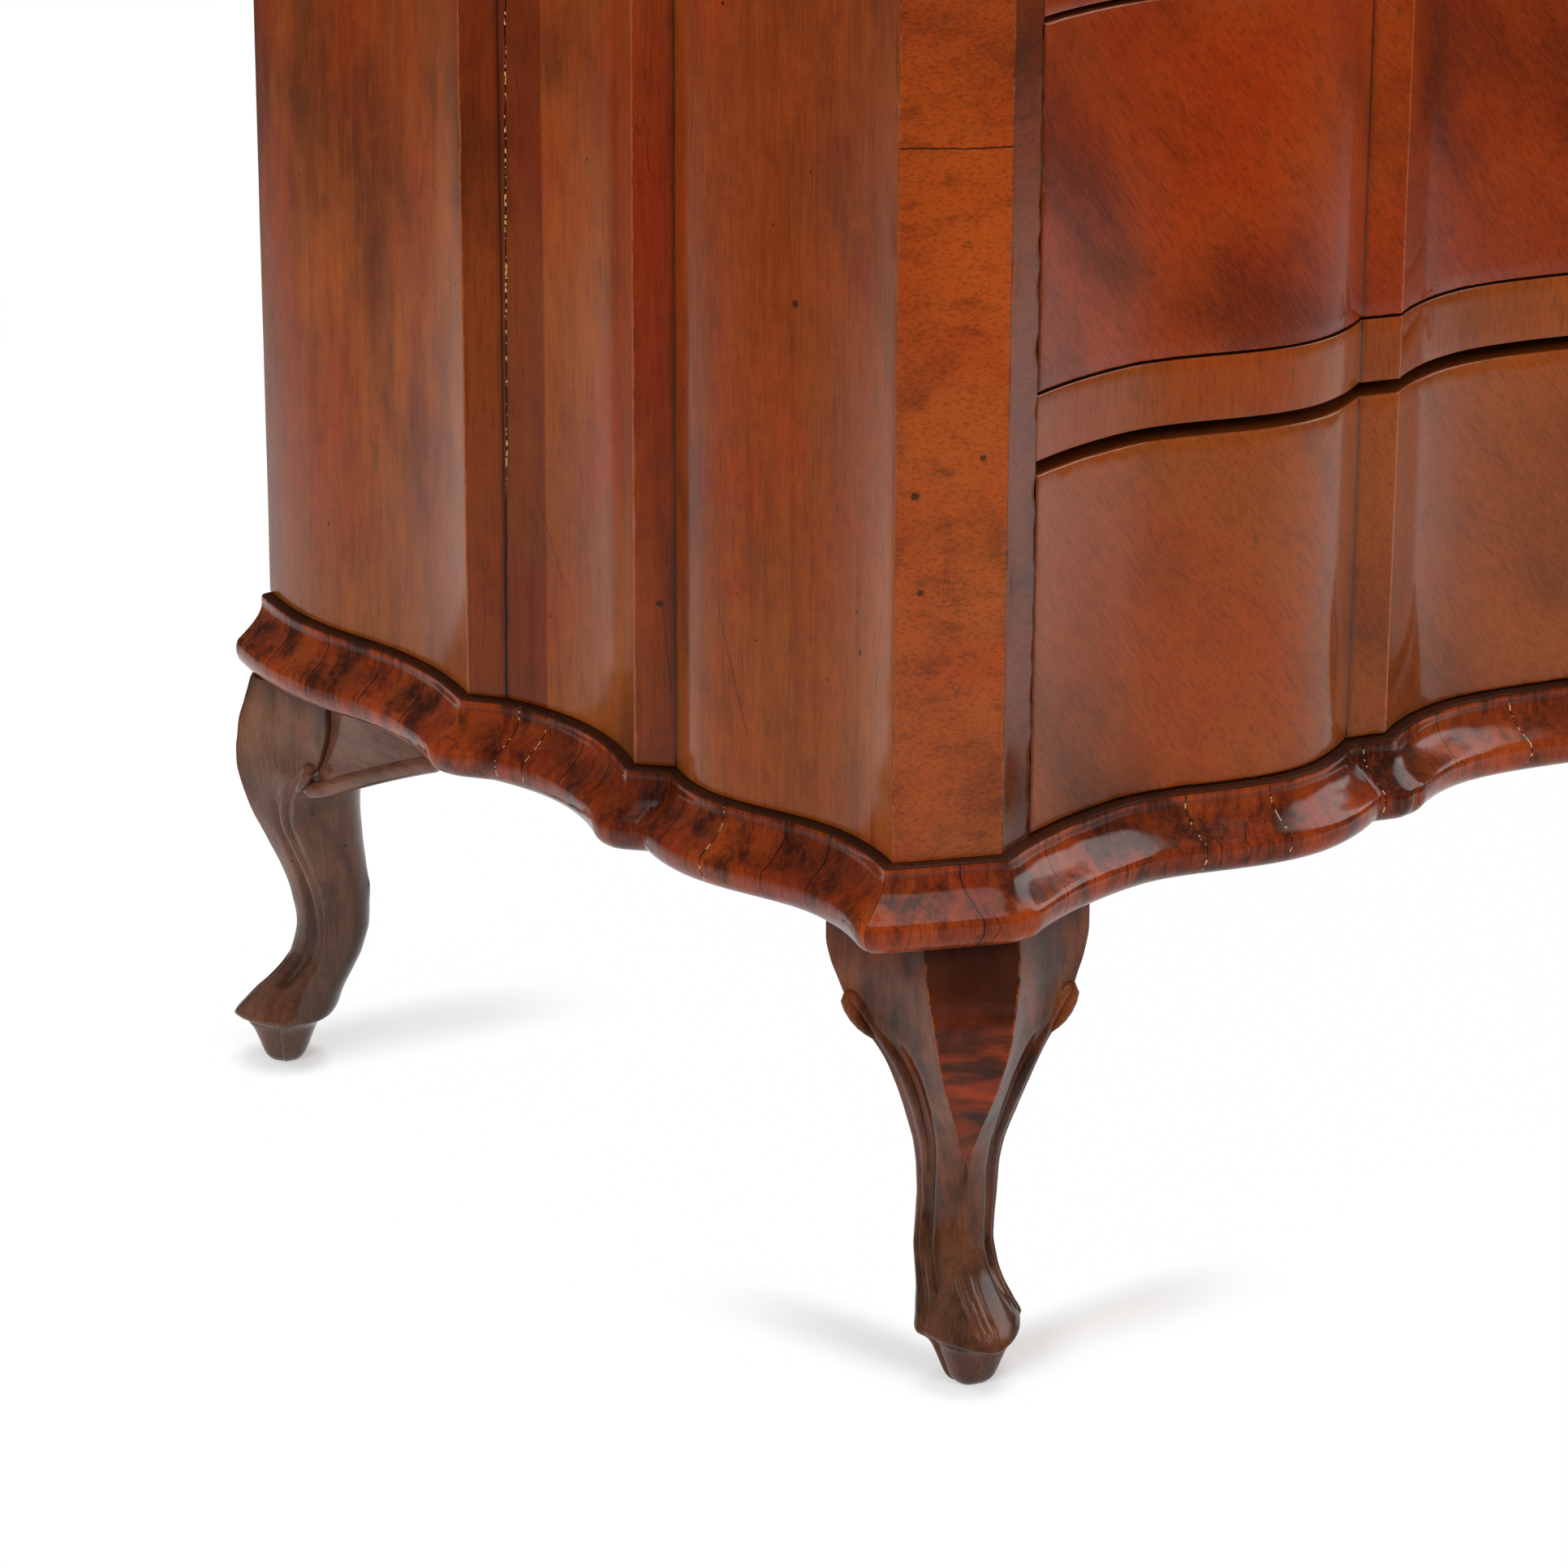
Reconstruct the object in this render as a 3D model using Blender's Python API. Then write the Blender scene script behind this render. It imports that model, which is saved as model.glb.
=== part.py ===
"""Serpentine chest of three drawers on cabriole legs: every wooden and metal piece as its own solid.

Metres, +Z up. The front faces -Y, the origin is on the floor under the middle of the chest.
"""
import math

import bmesh
import bpy
from mathutils import Vector

# Gap between pieces that touch.
GAP = 0.0003

# Place of the front corner arrises, which makes the origin the middle of the whole chest.
CORNER_Y = -0.2113

# Width between the corner arrises, and depth from them to the back.
CASE_WIDTH = 1.060
CASE_DEPTH = 0.486

# Front plan from a corner arris towards the middle: length of each run, and depth at its end.
CANT_RUN = 0.0439
CANT_DEPTH = -0.0222
STILE_WIDTH = 0.0235
OUTER_HOLLOW_RUN = 0.0841
OUTER_HOLLOW_DEPTH = -0.0056
OUTER_ROUND_RUN = 0.092
OUTER_ROUND_DEPTH = -0.0283
ROLL_RUN = 0.0457
VALLEY_DEPTH = -0.0143
FRONT_STRIP_RUN = 0.0193
FRONT_ARRIS_DEPTH = -0.021
INNER_HOLLOW_RUN = 0.056
INNER_HOLLOW_DEPTH = -0.0067
CENTRE_DEPTH = -0.051
CENTRE_BIAS = 0.87

# Side plan from a corner arris to the back edge: length of each run, and inward set at its end.
FRONT_PANEL_HOLLOW_RUN = 0.046
FRONT_PANEL_HOLLOW_SET = 0.009
FRONT_PANEL_ROUND_RUN = 0.073
FRONT_PANEL_ROUND_SET = -0.004
FRONT_PANEL_ROLL_RUN = 0.0346
FRONT_PANEL_VALLEY_SET = 0.0047
SIDE_STRIP_RUN = 0.0152
SIDE_ARRIS_SET = -0.0074
MIDDLE_PANEL_HOLLOW_RUN = 0.069
MIDDLE_PANEL_HOLLOW_SET = 0.0101
MIDDLE_PANEL_RETURN_RUN = 0.041
MIDDLE_PANEL_RETURN_SET = 0.0033
BACK_STRIP_RUN = 0.0162
BACK_PANEL_HOLLOW_RUN = 0.070
BACK_PANEL_HOLLOW_SET = 0.0055
BACK_PANEL_ROUND_SET = 0.0011
BACK_PANEL_ROLL_RUN = 0.058
BACK_EDGE_SET = 0.0114
ROLL_POWER = 1.8

# Heights, from the floor up.
LEG_HEIGHT = 0.2135
MOULDING_HEIGHT = 0.0365
LOWER_OPENING = 0.171
MIDDLE_OPENING = 0.1635
UPPER_OPENING = 0.150
RAIL_THICKNESS = 0.0295
TOP_RAIL_THICKNESS = 0.0265
TOP_THICKNESS = 0.030

# Case joinery.
SIDE_INSIDE = 0.028
RAIL_BACK = 0.060
POST_DEPTH = 0.045
BACK_THICKNESS = 0.0117
BACK_POST_SIZE = 0.030
BOTTOM_BOARD_THICKNESS = 0.014
RUNNER_SHELF_WIDTH = 0.028
RUNNER_THICKNESS = 0.020
GUIDE_HEIGHT = 0.032
CORNER_BLOCK_LENGTH = 0.075

# Base moulding and top: how far they stand out, and their steps.
MOULDING_LEDGE = 0.005
MOULDING_FILLET = 0.0035
MOULDING_OUT = 0.0205
MOULDING_INSET = 0.005
TOP_OVERHANG = 0.020
TOP_BACK_OVERHANG = 0.003
TOP_LIP = 0.009

# Drawers.
FRONT_THICKNESS = 0.024
LOWER_TOP_GAP = 0.0062
DRAWER_TOP_GAP = 0.0025
DRAWER_SIDE_GAP = 0.001
DRAWER_FOOT_GAP = 0.0008
DRAWER_BACK_CLEARANCE = 0.004
BOX_SIDE_THICKNESS = 0.013
BOX_BACK_THICKNESS = 0.012
BOX_SIDE_DROP = 0.012
BOX_BOTTOM_THICKNESS = 0.008
BOX_BOTTOM_RAISE = 0.008
GROOVE_DEPTH = 0.006

# Locks and keys.
LOCK_WIDTH = 0.060
LOCK_DEPTH = 0.014
LOCK_HEIGHT = 0.044
LOCK_WALL = 0.002
LOCK_TOP_DROP = 0.0015
BOLT_WIDTH = 0.020
BOLT_DEPTH = 0.006
BOLT_HEIGHT = 0.0255
BOLT_THROW = 0.012
MORTISE_DEPTH = 0.012
MORTISE_CLEARANCE = 0.002
KEY_RADIUS = 0.0025
KEY_RISE = 0.014
KEY_BIT_LENGTH = 0.010
KEY_BIT_WIDTH = 0.005
KEY_OUT = 0.013
KEY_IN = 0.010
BOW_RADIUS = 0.0095
BOW_WIRE = 0.0022
PLATE_WIDTH = 0.030
PLATE_HEIGHT = 0.044
PLATE_THICKNESS = 0.0015

# Legs: foot centres from the nearest case corner, and how far each leg turns to the side.
FRONT_FOOT_X = 0.0339
FRONT_FOOT_Y = -0.013
FRONT_LEG_TURN = 34.0
BACK_FOOT_X = 0.0105
BACK_FOOT_FROM_BACK = 0.0042
BACK_LEG_TURN = 45.0
FOOT_RADIUS = 0.0115
FOOT_TOP_RADIUS = 0.0195
COLLAR_REACH = 0.027
ANKLE_HALF_WIDTH = 0.0177
WING_REACH = 0.058
WING_TURN = 40.0
WING_THICKNESS = 0.016
SCROLL_SHARE = 0.773

# Brackets beside the back legs.
BRACKET_OUT = 0.004
BRACKET_THICKNESS = 0.022
BRACKET_LENGTH = 0.098
BRACKET_DROP = 0.052
BRACKET_HOLLOW = 0.0012
BRACKET_END = 0.006

# Everything below follows from the sizes above. The middle of the front and of the back side panel
# takes what the other runs leave.
HALF_WIDTH = CASE_WIDTH / 2
CENTRE_RUN = HALF_WIDTH - CANT_RUN - OUTER_HOLLOW_RUN - OUTER_ROUND_RUN - ROLL_RUN
CENTRE_RUN -= FRONT_STRIP_RUN + INNER_HOLLOW_RUN
BACK_PANEL_ROUND_RUN = CASE_DEPTH - FRONT_PANEL_HOLLOW_RUN - FRONT_PANEL_ROUND_RUN - FRONT_PANEL_ROLL_RUN
BACK_PANEL_ROUND_RUN -= SIDE_STRIP_RUN + MIDDLE_PANEL_HOLLOW_RUN + MIDDLE_PANEL_RETURN_RUN
BACK_PANEL_ROUND_RUN -= BACK_STRIP_RUN + BACK_PANEL_HOLLOW_RUN + BACK_PANEL_ROLL_RUN
FRONT_SPANS = (
    (CANT_RUN, CANT_DEPTH, "line", 1),
    (OUTER_HOLLOW_RUN, OUTER_HOLLOW_DEPTH, "flare", 6),
    (OUTER_ROUND_RUN, OUTER_ROUND_DEPTH, "wave", 7),
    (ROLL_RUN, VALLEY_DEPTH, "roll", 4),
    (FRONT_STRIP_RUN, FRONT_ARRIS_DEPTH, "line", 1),
    (INNER_HOLLOW_RUN, INNER_HOLLOW_DEPTH, "flare", 5),
    (CENTRE_RUN, CENTRE_DEPTH, "crest", 9),
)
SIDE_SPANS = (
    (FRONT_PANEL_HOLLOW_RUN, FRONT_PANEL_HOLLOW_SET, "flare", 4),
    (FRONT_PANEL_ROUND_RUN, FRONT_PANEL_ROUND_SET, "wave", 6),
    (FRONT_PANEL_ROLL_RUN, FRONT_PANEL_VALLEY_SET, "roll", 2),
    (SIDE_STRIP_RUN, SIDE_ARRIS_SET, "line", 1),
    (MIDDLE_PANEL_HOLLOW_RUN, MIDDLE_PANEL_HOLLOW_SET, "flare", 5),
    (MIDDLE_PANEL_RETURN_RUN, MIDDLE_PANEL_RETURN_SET, "roll", 3),
    (BACK_STRIP_RUN, SIDE_ARRIS_SET, "line", 1),
    (BACK_PANEL_HOLLOW_RUN, BACK_PANEL_HOLLOW_SET, "flare", 5),
    (BACK_PANEL_ROUND_RUN, BACK_PANEL_ROUND_SET, "wave", 4),
    (BACK_PANEL_ROLL_RUN, BACK_EDGE_SET, "roll", 4),
)
BACK_Y = CORNER_Y + CASE_DEPTH
BACK_INSIDE_Y = BACK_Y - BACK_THICKNESS
INSIDE_X = HALF_WIDTH - SIDE_INSIDE
OPENING_X = HALF_WIDTH - CANT_RUN - STILE_WIDTH

BASE_TOP = LEG_HEIGHT + MOULDING_HEIGHT
LOWER_RAIL_Z = BASE_TOP + LOWER_OPENING
MIDDLE_FLOOR_Z = LOWER_RAIL_Z + RAIL_THICKNESS
UPPER_RAIL_Z = MIDDLE_FLOOR_Z + MIDDLE_OPENING
UPPER_FLOOR_Z = UPPER_RAIL_Z + RAIL_THICKNESS
TOP_RAIL_Z = UPPER_FLOOR_Z + UPPER_OPENING
CASE_TOP = TOP_RAIL_Z + TOP_RAIL_THICKNESS
LEG_TOP = LEG_HEIGHT - GAP
LOCK_HALF_FLAT = LOCK_WIDTH / 2 + 0.004


def clear_scene():
    """Empty the file."""
    for obj in list(bpy.data.objects):
        bpy.data.objects.remove(obj, do_unlink=True)


def wood(name, colour, roughness):
    """A wooden material."""
    return principled(name, colour, roughness, 0.0)


def principled(name, colour, roughness, metallic):
    """A material from one Principled shader."""
    material = bpy.data.materials.new(name)
    material.use_nodes = True
    shader = material.node_tree.nodes["Principled BSDF"]
    shader.inputs["Base Color"].default_value = (*colour, 1.0)
    shader.inputs["Roughness"].default_value = roughness
    shader.inputs["Metallic"].default_value = metallic
    return material


def span_value(start, end, shape, part):
    """Offset at a share of a run: flares start steep, rolls end steep, waves are level at both ends."""
    if shape == "flare":
        return end + (start - end) * (1.0 - part) ** 2
    if shape == "roll":
        return start + (end - start) * part ** ROLL_POWER
    if shape == "wave":
        return start + (end - start) * (1.0 - math.cos(math.pi * part)) / 2.0
    if shape == "crest":
        return start + (end - start) * (1.0 - math.cos(math.pi * part ** CENTRE_BIAS)) / 2.0
    return start + (end - start) * part


def plan_value(spans, place):
    """Offset of a plan line at a distance from its corner arris."""
    done = 0.0
    offset = 0.0
    for run, end, shape, _ in spans:
        if place <= done + run + 1e-9:
            return span_value(offset, end, shape, max(0.0, (place - done) / run))
        done += run
        offset = end
    return offset


def plan_stations(spans):
    """Distances along a plan line at which it has a point."""
    stations = [0.0]
    done = 0.0
    for run, _, _, count in spans:
        stations += [done + run * (i + 1) / count for i in range(count)]
        done += run
    return stations


def front_y(x):
    """Depth of the front at a place along its width."""
    return CORNER_Y + plan_value(FRONT_SPANS, HALF_WIDTH - abs(x))


def side_x(y):
    """Half width of the case at a place along its depth."""
    return HALF_WIDTH - plan_value(SIDE_SPANS, y - CORNER_Y)


def front_stations(limit):
    """Places along the whole front between minus and plus a limit."""
    half = [HALF_WIDTH - s for s in plan_stations(FRONT_SPANS)]
    inner = [x for x in half if x < limit - 0.001]
    right = sorted([x for x in inner if x > 1e-6] + [limit])
    return [-x for x in reversed(right)] + [0.0] + right


def front_line(limit):
    """Points of the front's outer face from left to right."""
    return [Vector((x, front_y(x))) for x in front_stations(limit)]


def side_line():
    """Points of the right side's outer face from the corner arris to the back edge."""
    return [Vector((side_x(CORNER_Y + s), CORNER_Y + s)) for s in plan_stations(SIDE_SPANS)]


def outer_line():
    """Points all round the case from the back left edge by the front to the back right edge."""
    right = side_line()
    left = [Vector((-p.x, p.y)) for p in reversed(right)]
    return left[:-1] + front_line(HALF_WIDTH) + right[1:]


def mitres(points):
    """Outward vectors, one for each point, which keep an offset line parallel to every run."""
    result = []
    for i, point in enumerate(points):
        normals = []
        if i > 0:
            run = (point - points[i - 1]).normalized()
            normals.append(Vector((run.y, -run.x)))
        if i < len(points) - 1:
            run = (points[i + 1] - point).normalized()
            normals.append(Vector((run.y, -run.x)))
        total = sum(normals, Vector((0.0, 0.0)))
        total.normalize()
        result.append(total / max(0.35, total.dot(normals[0])))
    return result


def finish(name, mesh_maker, material, origin=(0.0, 0.0, 0.0), smooth=None):
    """An object from a bmesh, with its faces pointing out and its own origin."""
    mesh_maker.normal_update()
    bmesh.ops.recalc_face_normals(mesh_maker, faces=mesh_maker.faces)
    bmesh.ops.translate(mesh_maker, verts=mesh_maker.verts, vec=-Vector(origin))
    mesh = bpy.data.meshes.new(name)
    mesh_maker.to_mesh(mesh)
    mesh_maker.free()
    if smooth is not None:
        mesh.shade_smooth()
        mesh.set_sharp_from_angle(angle=math.radians(smooth))
    mesh.materials.append(material)
    obj = bpy.data.objects.new(name, mesh)
    obj.location = origin
    bpy.context.collection.objects.link(obj)
    return obj


def loft(name, rings, material, origin=(0.0, 0.0, 0.0), smooth=None):
    """A solid through rings of points, closed by a face at each end."""
    bm = bmesh.new()
    rows = [[bm.verts.new(point) for point in ring] for ring in rings]
    for row, after in zip(rows, rows[1:]):
        count = len(row)
        for i in range(count):
            j = (i + 1) % count
            bm.faces.new((row[i], row[j], after[j], after[i]))
    bm.faces.new(list(reversed(rows[0])))
    bm.faces.new(rows[-1])
    return finish(name, bm, material, origin, smooth)


def prism(name, outline, low, high, material, origin=(0.0, 0.0, 0.0), smooth=None):
    """A flat outline raised from one height to another."""
    rings = [[(p[0], p[1], z) for p in outline] for z in (low, high)]
    return loft(name, rings, material, origin, smooth)


def box(name, low, high, material, origin=(0.0, 0.0, 0.0)):
    """A rectangular block between two corners."""
    outline = [(low[0], low[1]), (high[0], low[1]), (high[0], high[1]), (low[0], high[1])]
    return prism(name, outline, low[2], high[2], material, origin)


def cutter(name, low, high):
    """A box that only cuts others."""
    bm = bmesh.new()
    bmesh.ops.create_cube(bm, size=1.0)
    size = Vector(high) - Vector(low)
    centre = (Vector(high) + Vector(low)) / 2
    bmesh.ops.scale(bm, verts=bm.verts, vec=size)
    mesh = bpy.data.meshes.new(name)
    bm.to_mesh(mesh)
    bm.free()
    return hide_cutter(name, mesh, centre)


def round_cutter(name, centre, radius, length):
    """A cylinder along Y that only cuts others."""
    bm = bmesh.new()
    bmesh.ops.create_cone(bm, cap_ends=True, segments=16, radius1=radius, radius2=radius, depth=length)
    mesh = bpy.data.meshes.new(name)
    bm.to_mesh(mesh)
    bm.free()
    obj = hide_cutter(name, mesh, centre)
    obj.rotation_euler = (math.radians(90), 0.0, 0.0)
    return obj


def hide_cutter(name, mesh, centre):
    """Link a cutter and keep it out of the model."""
    obj = bpy.data.objects.new(name, mesh)
    obj.location = centre
    obj.hide_render = True
    obj.display_type = "WIRE"
    bpy.context.collection.objects.link(obj)
    return obj


def combine(obj, tool, operation):
    """Cut or join one object with another."""
    modifier = obj.modifiers.new(tool.name, "BOOLEAN")
    modifier.operation = operation
    modifier.solver = "EXACT"
    modifier.object = tool


def mirrored(outline):
    """The same outline on the other side of the chest."""
    return [(-x, y) for x, y in reversed(outline)]


def corner_bisector():
    """Unit vector from the right corner arris into the case along the joint of post and side."""
    front_run = Vector((-CANT_RUN, CANT_DEPTH)).normalized()
    side_run = (side_line()[1] - side_line()[0]).normalized()
    return (front_run + side_run).normalized()


def build_sides(material):
    """The two shaped side panels, mitred to the front posts along the corner arrises."""
    line = side_line()
    bisector = corner_bisector()
    inner_y = line[0].y + bisector.y * (SIDE_INSIDE / -bisector.x)
    away = Vector((0.0, GAP))
    outline = [line[0] + away] + line[1:]
    outline += [Vector((INSIDE_X, BACK_Y)), Vector((INSIDE_X, inner_y)) + away]
    outline = [(p.x, p.y) for p in outline]
    low = BASE_TOP + GAP
    prism("side_right", outline, low, CASE_TOP - GAP, material, smooth=30)
    prism("side_left", mirrored(outline), low, CASE_TOP - GAP, material, smooth=30)


def build_front_posts(material):
    """Corner posts: canted face, then the stile up to the drawers, square behind."""
    corner = Vector((HALF_WIDTH, CORNER_Y))
    bisector = corner_bisector()
    inner = corner + bisector * ((SIDE_INSIDE + GAP) / -bisector.x)
    stop = OPENING_X + GAP
    face = [p for p in front_line(HALF_WIDTH) if p.x > stop + 0.001]
    face = [Vector((stop, front_y(stop)))] + face
    depth_y = CORNER_Y + POST_DEPTH
    outline = [(p.x, p.y) for p in face]
    outline += [(inner.x, inner.y), (inner.x, depth_y), (stop, depth_y)]
    low = BASE_TOP + GAP
    prism("post_front_right", outline, low, CASE_TOP - GAP, material, smooth=30)
    prism("post_front_left", mirrored(outline), low, CASE_TOP - GAP, material, smooth=30)


def build_back(material):
    """Back panel and the two inner posts at the back corners."""
    low = BASE_TOP + GAP
    high = CASE_TOP - GAP
    edge = INSIDE_X - GAP
    box("back_panel", (-edge, BACK_INSIDE_Y + GAP, low), (edge, BACK_Y, high), material)
    post_front = BACK_INSIDE_Y - BACK_POST_SIZE
    box("post_back_right", (edge - BACK_POST_SIZE, post_front, low), (edge, BACK_INSIDE_Y, high), material)
    box("post_back_left", (-edge, post_front, low), (-edge + BACK_POST_SIZE, BACK_INSIDE_Y, high), material)


def build_rail(name, low, high, cut, material):
    """A rail whose face follows the front, with a mortise below for the bolt."""
    back_y = CORNER_Y + RAIL_BACK
    line = front_line(OPENING_X)
    outline = [(p.x, p.y) for p in line] + [(OPENING_X, back_y), (-OPENING_X, back_y)]
    rail = prism(name, outline, low, high, material, smooth=30)
    half_x = BOLT_WIDTH / 2 + MORTISE_CLEARANCE
    half_y = BOLT_DEPTH / 2 + MORTISE_CLEARANCE
    middle = bolt_y()
    tool = cutter(
        "cut_" + name,
        (-half_x, middle - half_y, low - 0.01),
        (half_x, middle + half_y, low + cut),
    )
    combine(rail, tool, "DIFFERENCE")


def build_rails(material):
    """The rails above the three drawers."""
    build_rail("rail_lower", LOWER_RAIL_Z, MIDDLE_FLOOR_Z, MORTISE_DEPTH, material)
    build_rail("rail_middle", UPPER_RAIL_Z, UPPER_FLOOR_Z, MORTISE_DEPTH, material)
    build_rail("rail_top", TOP_RAIL_Z, CASE_TOP - GAP, MORTISE_DEPTH, material)


def build_floor(material):
    """Bottom board inside the base moulding, and the guides beside the lowest drawer."""
    edge = INSIDE_X - GAP
    low = BASE_TOP - BOTTOM_BOARD_THICKNESS
    front = moulding_inside_y() + GAP
    box("bottom_board", (-edge, front, low), (edge, BACK_INSIDE_Y, BASE_TOP), material)
    guide_in = OPENING_X
    start = CORNER_Y + POST_DEPTH + GAP
    stop = BACK_INSIDE_Y - BACK_POST_SIZE - GAP
    for side, name in ((1, "guide_lower_right"), (-1, "guide_lower_left")):
        xs = sorted((side * guide_in, side * edge))
        low_corner = (xs[0], start, BASE_TOP + GAP)
        box(name, low_corner, (xs[1], stop, BASE_TOP + GUIDE_HEIGHT), material)


def build_runners(material):
    """L-shaped runners with guides: a shelf under each drawer side, a wall beside it."""
    start = CORNER_Y + RAIL_BACK + GAP
    stop = BACK_INSIDE_Y - BACK_POST_SIZE - GAP
    wall = OPENING_X
    edge = INSIDE_X - GAP
    shelf = OPENING_X - RUNNER_SHELF_WIDTH
    for name, floor in (("middle", MIDDLE_FLOOR_Z), ("upper", UPPER_FLOOR_Z)):
        low = floor - RUNNER_THICKNESS
        high = floor + GUIDE_HEIGHT
        section = [(shelf, low), (edge, low), (edge, high), (wall, high), (wall, floor), (shelf, floor)]
        rings = [[(x, y, z) for x, z in section] for y in (start, stop)]
        loft("runner_" + name + "_right", rings, material)
        rings = [[(-x, y, z) for x, z in section] for y in (start, stop)]
        loft("runner_" + name + "_left", rings, material)


def moulding_profile():
    """Outer profile of the base moulding from its top ledge down to its underside: out, height."""
    top = BASE_TOP
    foot = LEG_HEIGHT
    nose = foot + 0.0135
    cove_top = top - MOULDING_FILLET
    points = [(MOULDING_LEDGE, top), (MOULDING_LEDGE + 0.0003, cove_top)]
    drop = cove_top - nose
    reach = MOULDING_OUT - MOULDING_LEDGE
    points += [(MOULDING_LEDGE + reach * 0.25, cove_top - drop * 0.35)]
    points += [(MOULDING_LEDGE + reach * 0.68, cove_top - drop * 0.66)]
    points += [(MOULDING_OUT, nose)]
    points += [(MOULDING_OUT - 0.0012, foot + 0.0065)]
    points += [(MOULDING_OUT - 0.0055, foot + 0.0012)]
    points += [(MOULDING_OUT - 0.010, foot)]
    return points


def moulding_inside_y():
    """Back of the front moulding."""
    return CORNER_Y + POST_DEPTH - MOULDING_INSET


def moulding_band(name, points, outs, inner, material):
    """A length of base moulding along the case."""
    profile = moulding_profile()
    rings = []
    for point, out, inside in zip(points, outs, inner):
        ring = [(point.x + out.x * u, point.y + out.y * u, z) for u, z in profile]
        ring += [(inside.x, inside.y, LEG_HEIGHT), (inside.x, inside.y, BASE_TOP)]
        rings.append(ring)
    loft(name, rings, material, smooth=35)


def build_mouldings(material):
    """Front and side base mouldings, mitred at the corner arrises, and the back rail of the base."""
    points = outer_line()
    outs = mitres(points)
    count = len(side_line())
    first = count - 1
    last = len(points) - count
    bisector = corner_bisector()
    corner_inside = Vector((HALF_WIDTH, CORNER_Y)) + bisector * (SIDE_INSIDE / -bisector.x)
    # The front length.
    front_points = [p.copy() for p in points[first:last + 1]]
    front_outs = outs[first:last + 1]
    inner = []
    for i, p in enumerate(front_points):
        side = 1.0 if p.x > 0 else -1.0
        if i in (0, len(front_points) - 1):
            inner.append(Vector((side * (corner_inside.x - GAP), corner_inside.y)))
        else:
            reach = min(abs(p.x), INSIDE_X - GAP)
            inner.append(Vector((side * reach, moulding_inside_y())))
    moulding_band("moulding_front", front_points, front_outs, inner, material)
    # The side lengths, each moved back by the gap at the mitre.
    away = Vector((0.0, GAP * 1.5))
    right = [p.copy() for p in points[last:]]
    right_outs = outs[last:]
    right[0] = right[0] + away
    inner = [Vector((INSIDE_X, max(p.y, corner_inside.y))) for p in right]
    inner[0] = Vector((INSIDE_X, corner_inside.y + GAP * 1.5))
    for i in range(1, len(inner)):
        inner[i].y = max(inner[i].y, inner[i - 1].y + 0.0008)
    last_out = right_outs[-1]
    right_outs = right_outs[:-1] + [Vector((last_out.length, 0.0))]
    moulding_band("moulding_right", right, right_outs, inner, material)
    left = [Vector((-p.x, p.y)) for p in right]
    left_outs = [Vector((-p.x, p.y)) for p in right_outs]
    left_inner = [Vector((-p.x, p.y)) for p in inner]
    moulding_band("moulding_left", left, left_outs, left_inner, material)
    edge = INSIDE_X - GAP
    low = (-edge, BACK_INSIDE_Y + GAP, LEG_HEIGHT)
    box("base_rail_back", low, (edge, BACK_Y, BASE_TOP), material)
    for side, name in ((1, "corner_block_right"), (-1, "corner_block_left")):
        xs = sorted((side * (edge - CORNER_BLOCK_LENGTH), side * edge))
        low = (xs[0], BACK_INSIDE_Y - CORNER_BLOCK_LENGTH, LEG_HEIGHT)
        high = (xs[1], BACK_INSIDE_Y, BASE_TOP - BOTTOM_BOARD_THICKNESS - GAP)
        box(name, low, high, material)


def build_top(material):
    """The shaped top with a rounded nose over a small cove."""
    points = outer_line()
    points[0] = Vector((points[0].x, BACK_Y))
    outs = mitres(points)
    outs[0] = Vector((-1.0, 0.0))
    outs[-1] = Vector((1.0, 0.0))
    low = CASE_TOP
    high = CASE_TOP + TOP_THICKNESS
    nose = high - TOP_LIP
    profile = [
        (TOP_OVERHANG * 0.35, low),
        (TOP_OVERHANG * 0.45, low + (nose - low) * 0.35),
        (TOP_OVERHANG * 0.9, low + (nose - low) * 0.72),
        (TOP_OVERHANG, nose),
        (TOP_OVERHANG - 0.001, high - 0.0035),
        (TOP_OVERHANG - 0.004, high),
    ]
    rings = []
    for u, z in profile:
        ring = [(p.x + o.x * u, p.y + o.y * u, z) for p, o in zip(points, outs)]
        ring.append((ring[-1][0], BACK_Y + TOP_BACK_OVERHANG, z))
        ring.append((ring[0][0], BACK_Y + TOP_BACK_OVERHANG, z))
        rings.append(ring)
    loft("top_board", rings, material, smooth=35)


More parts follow.
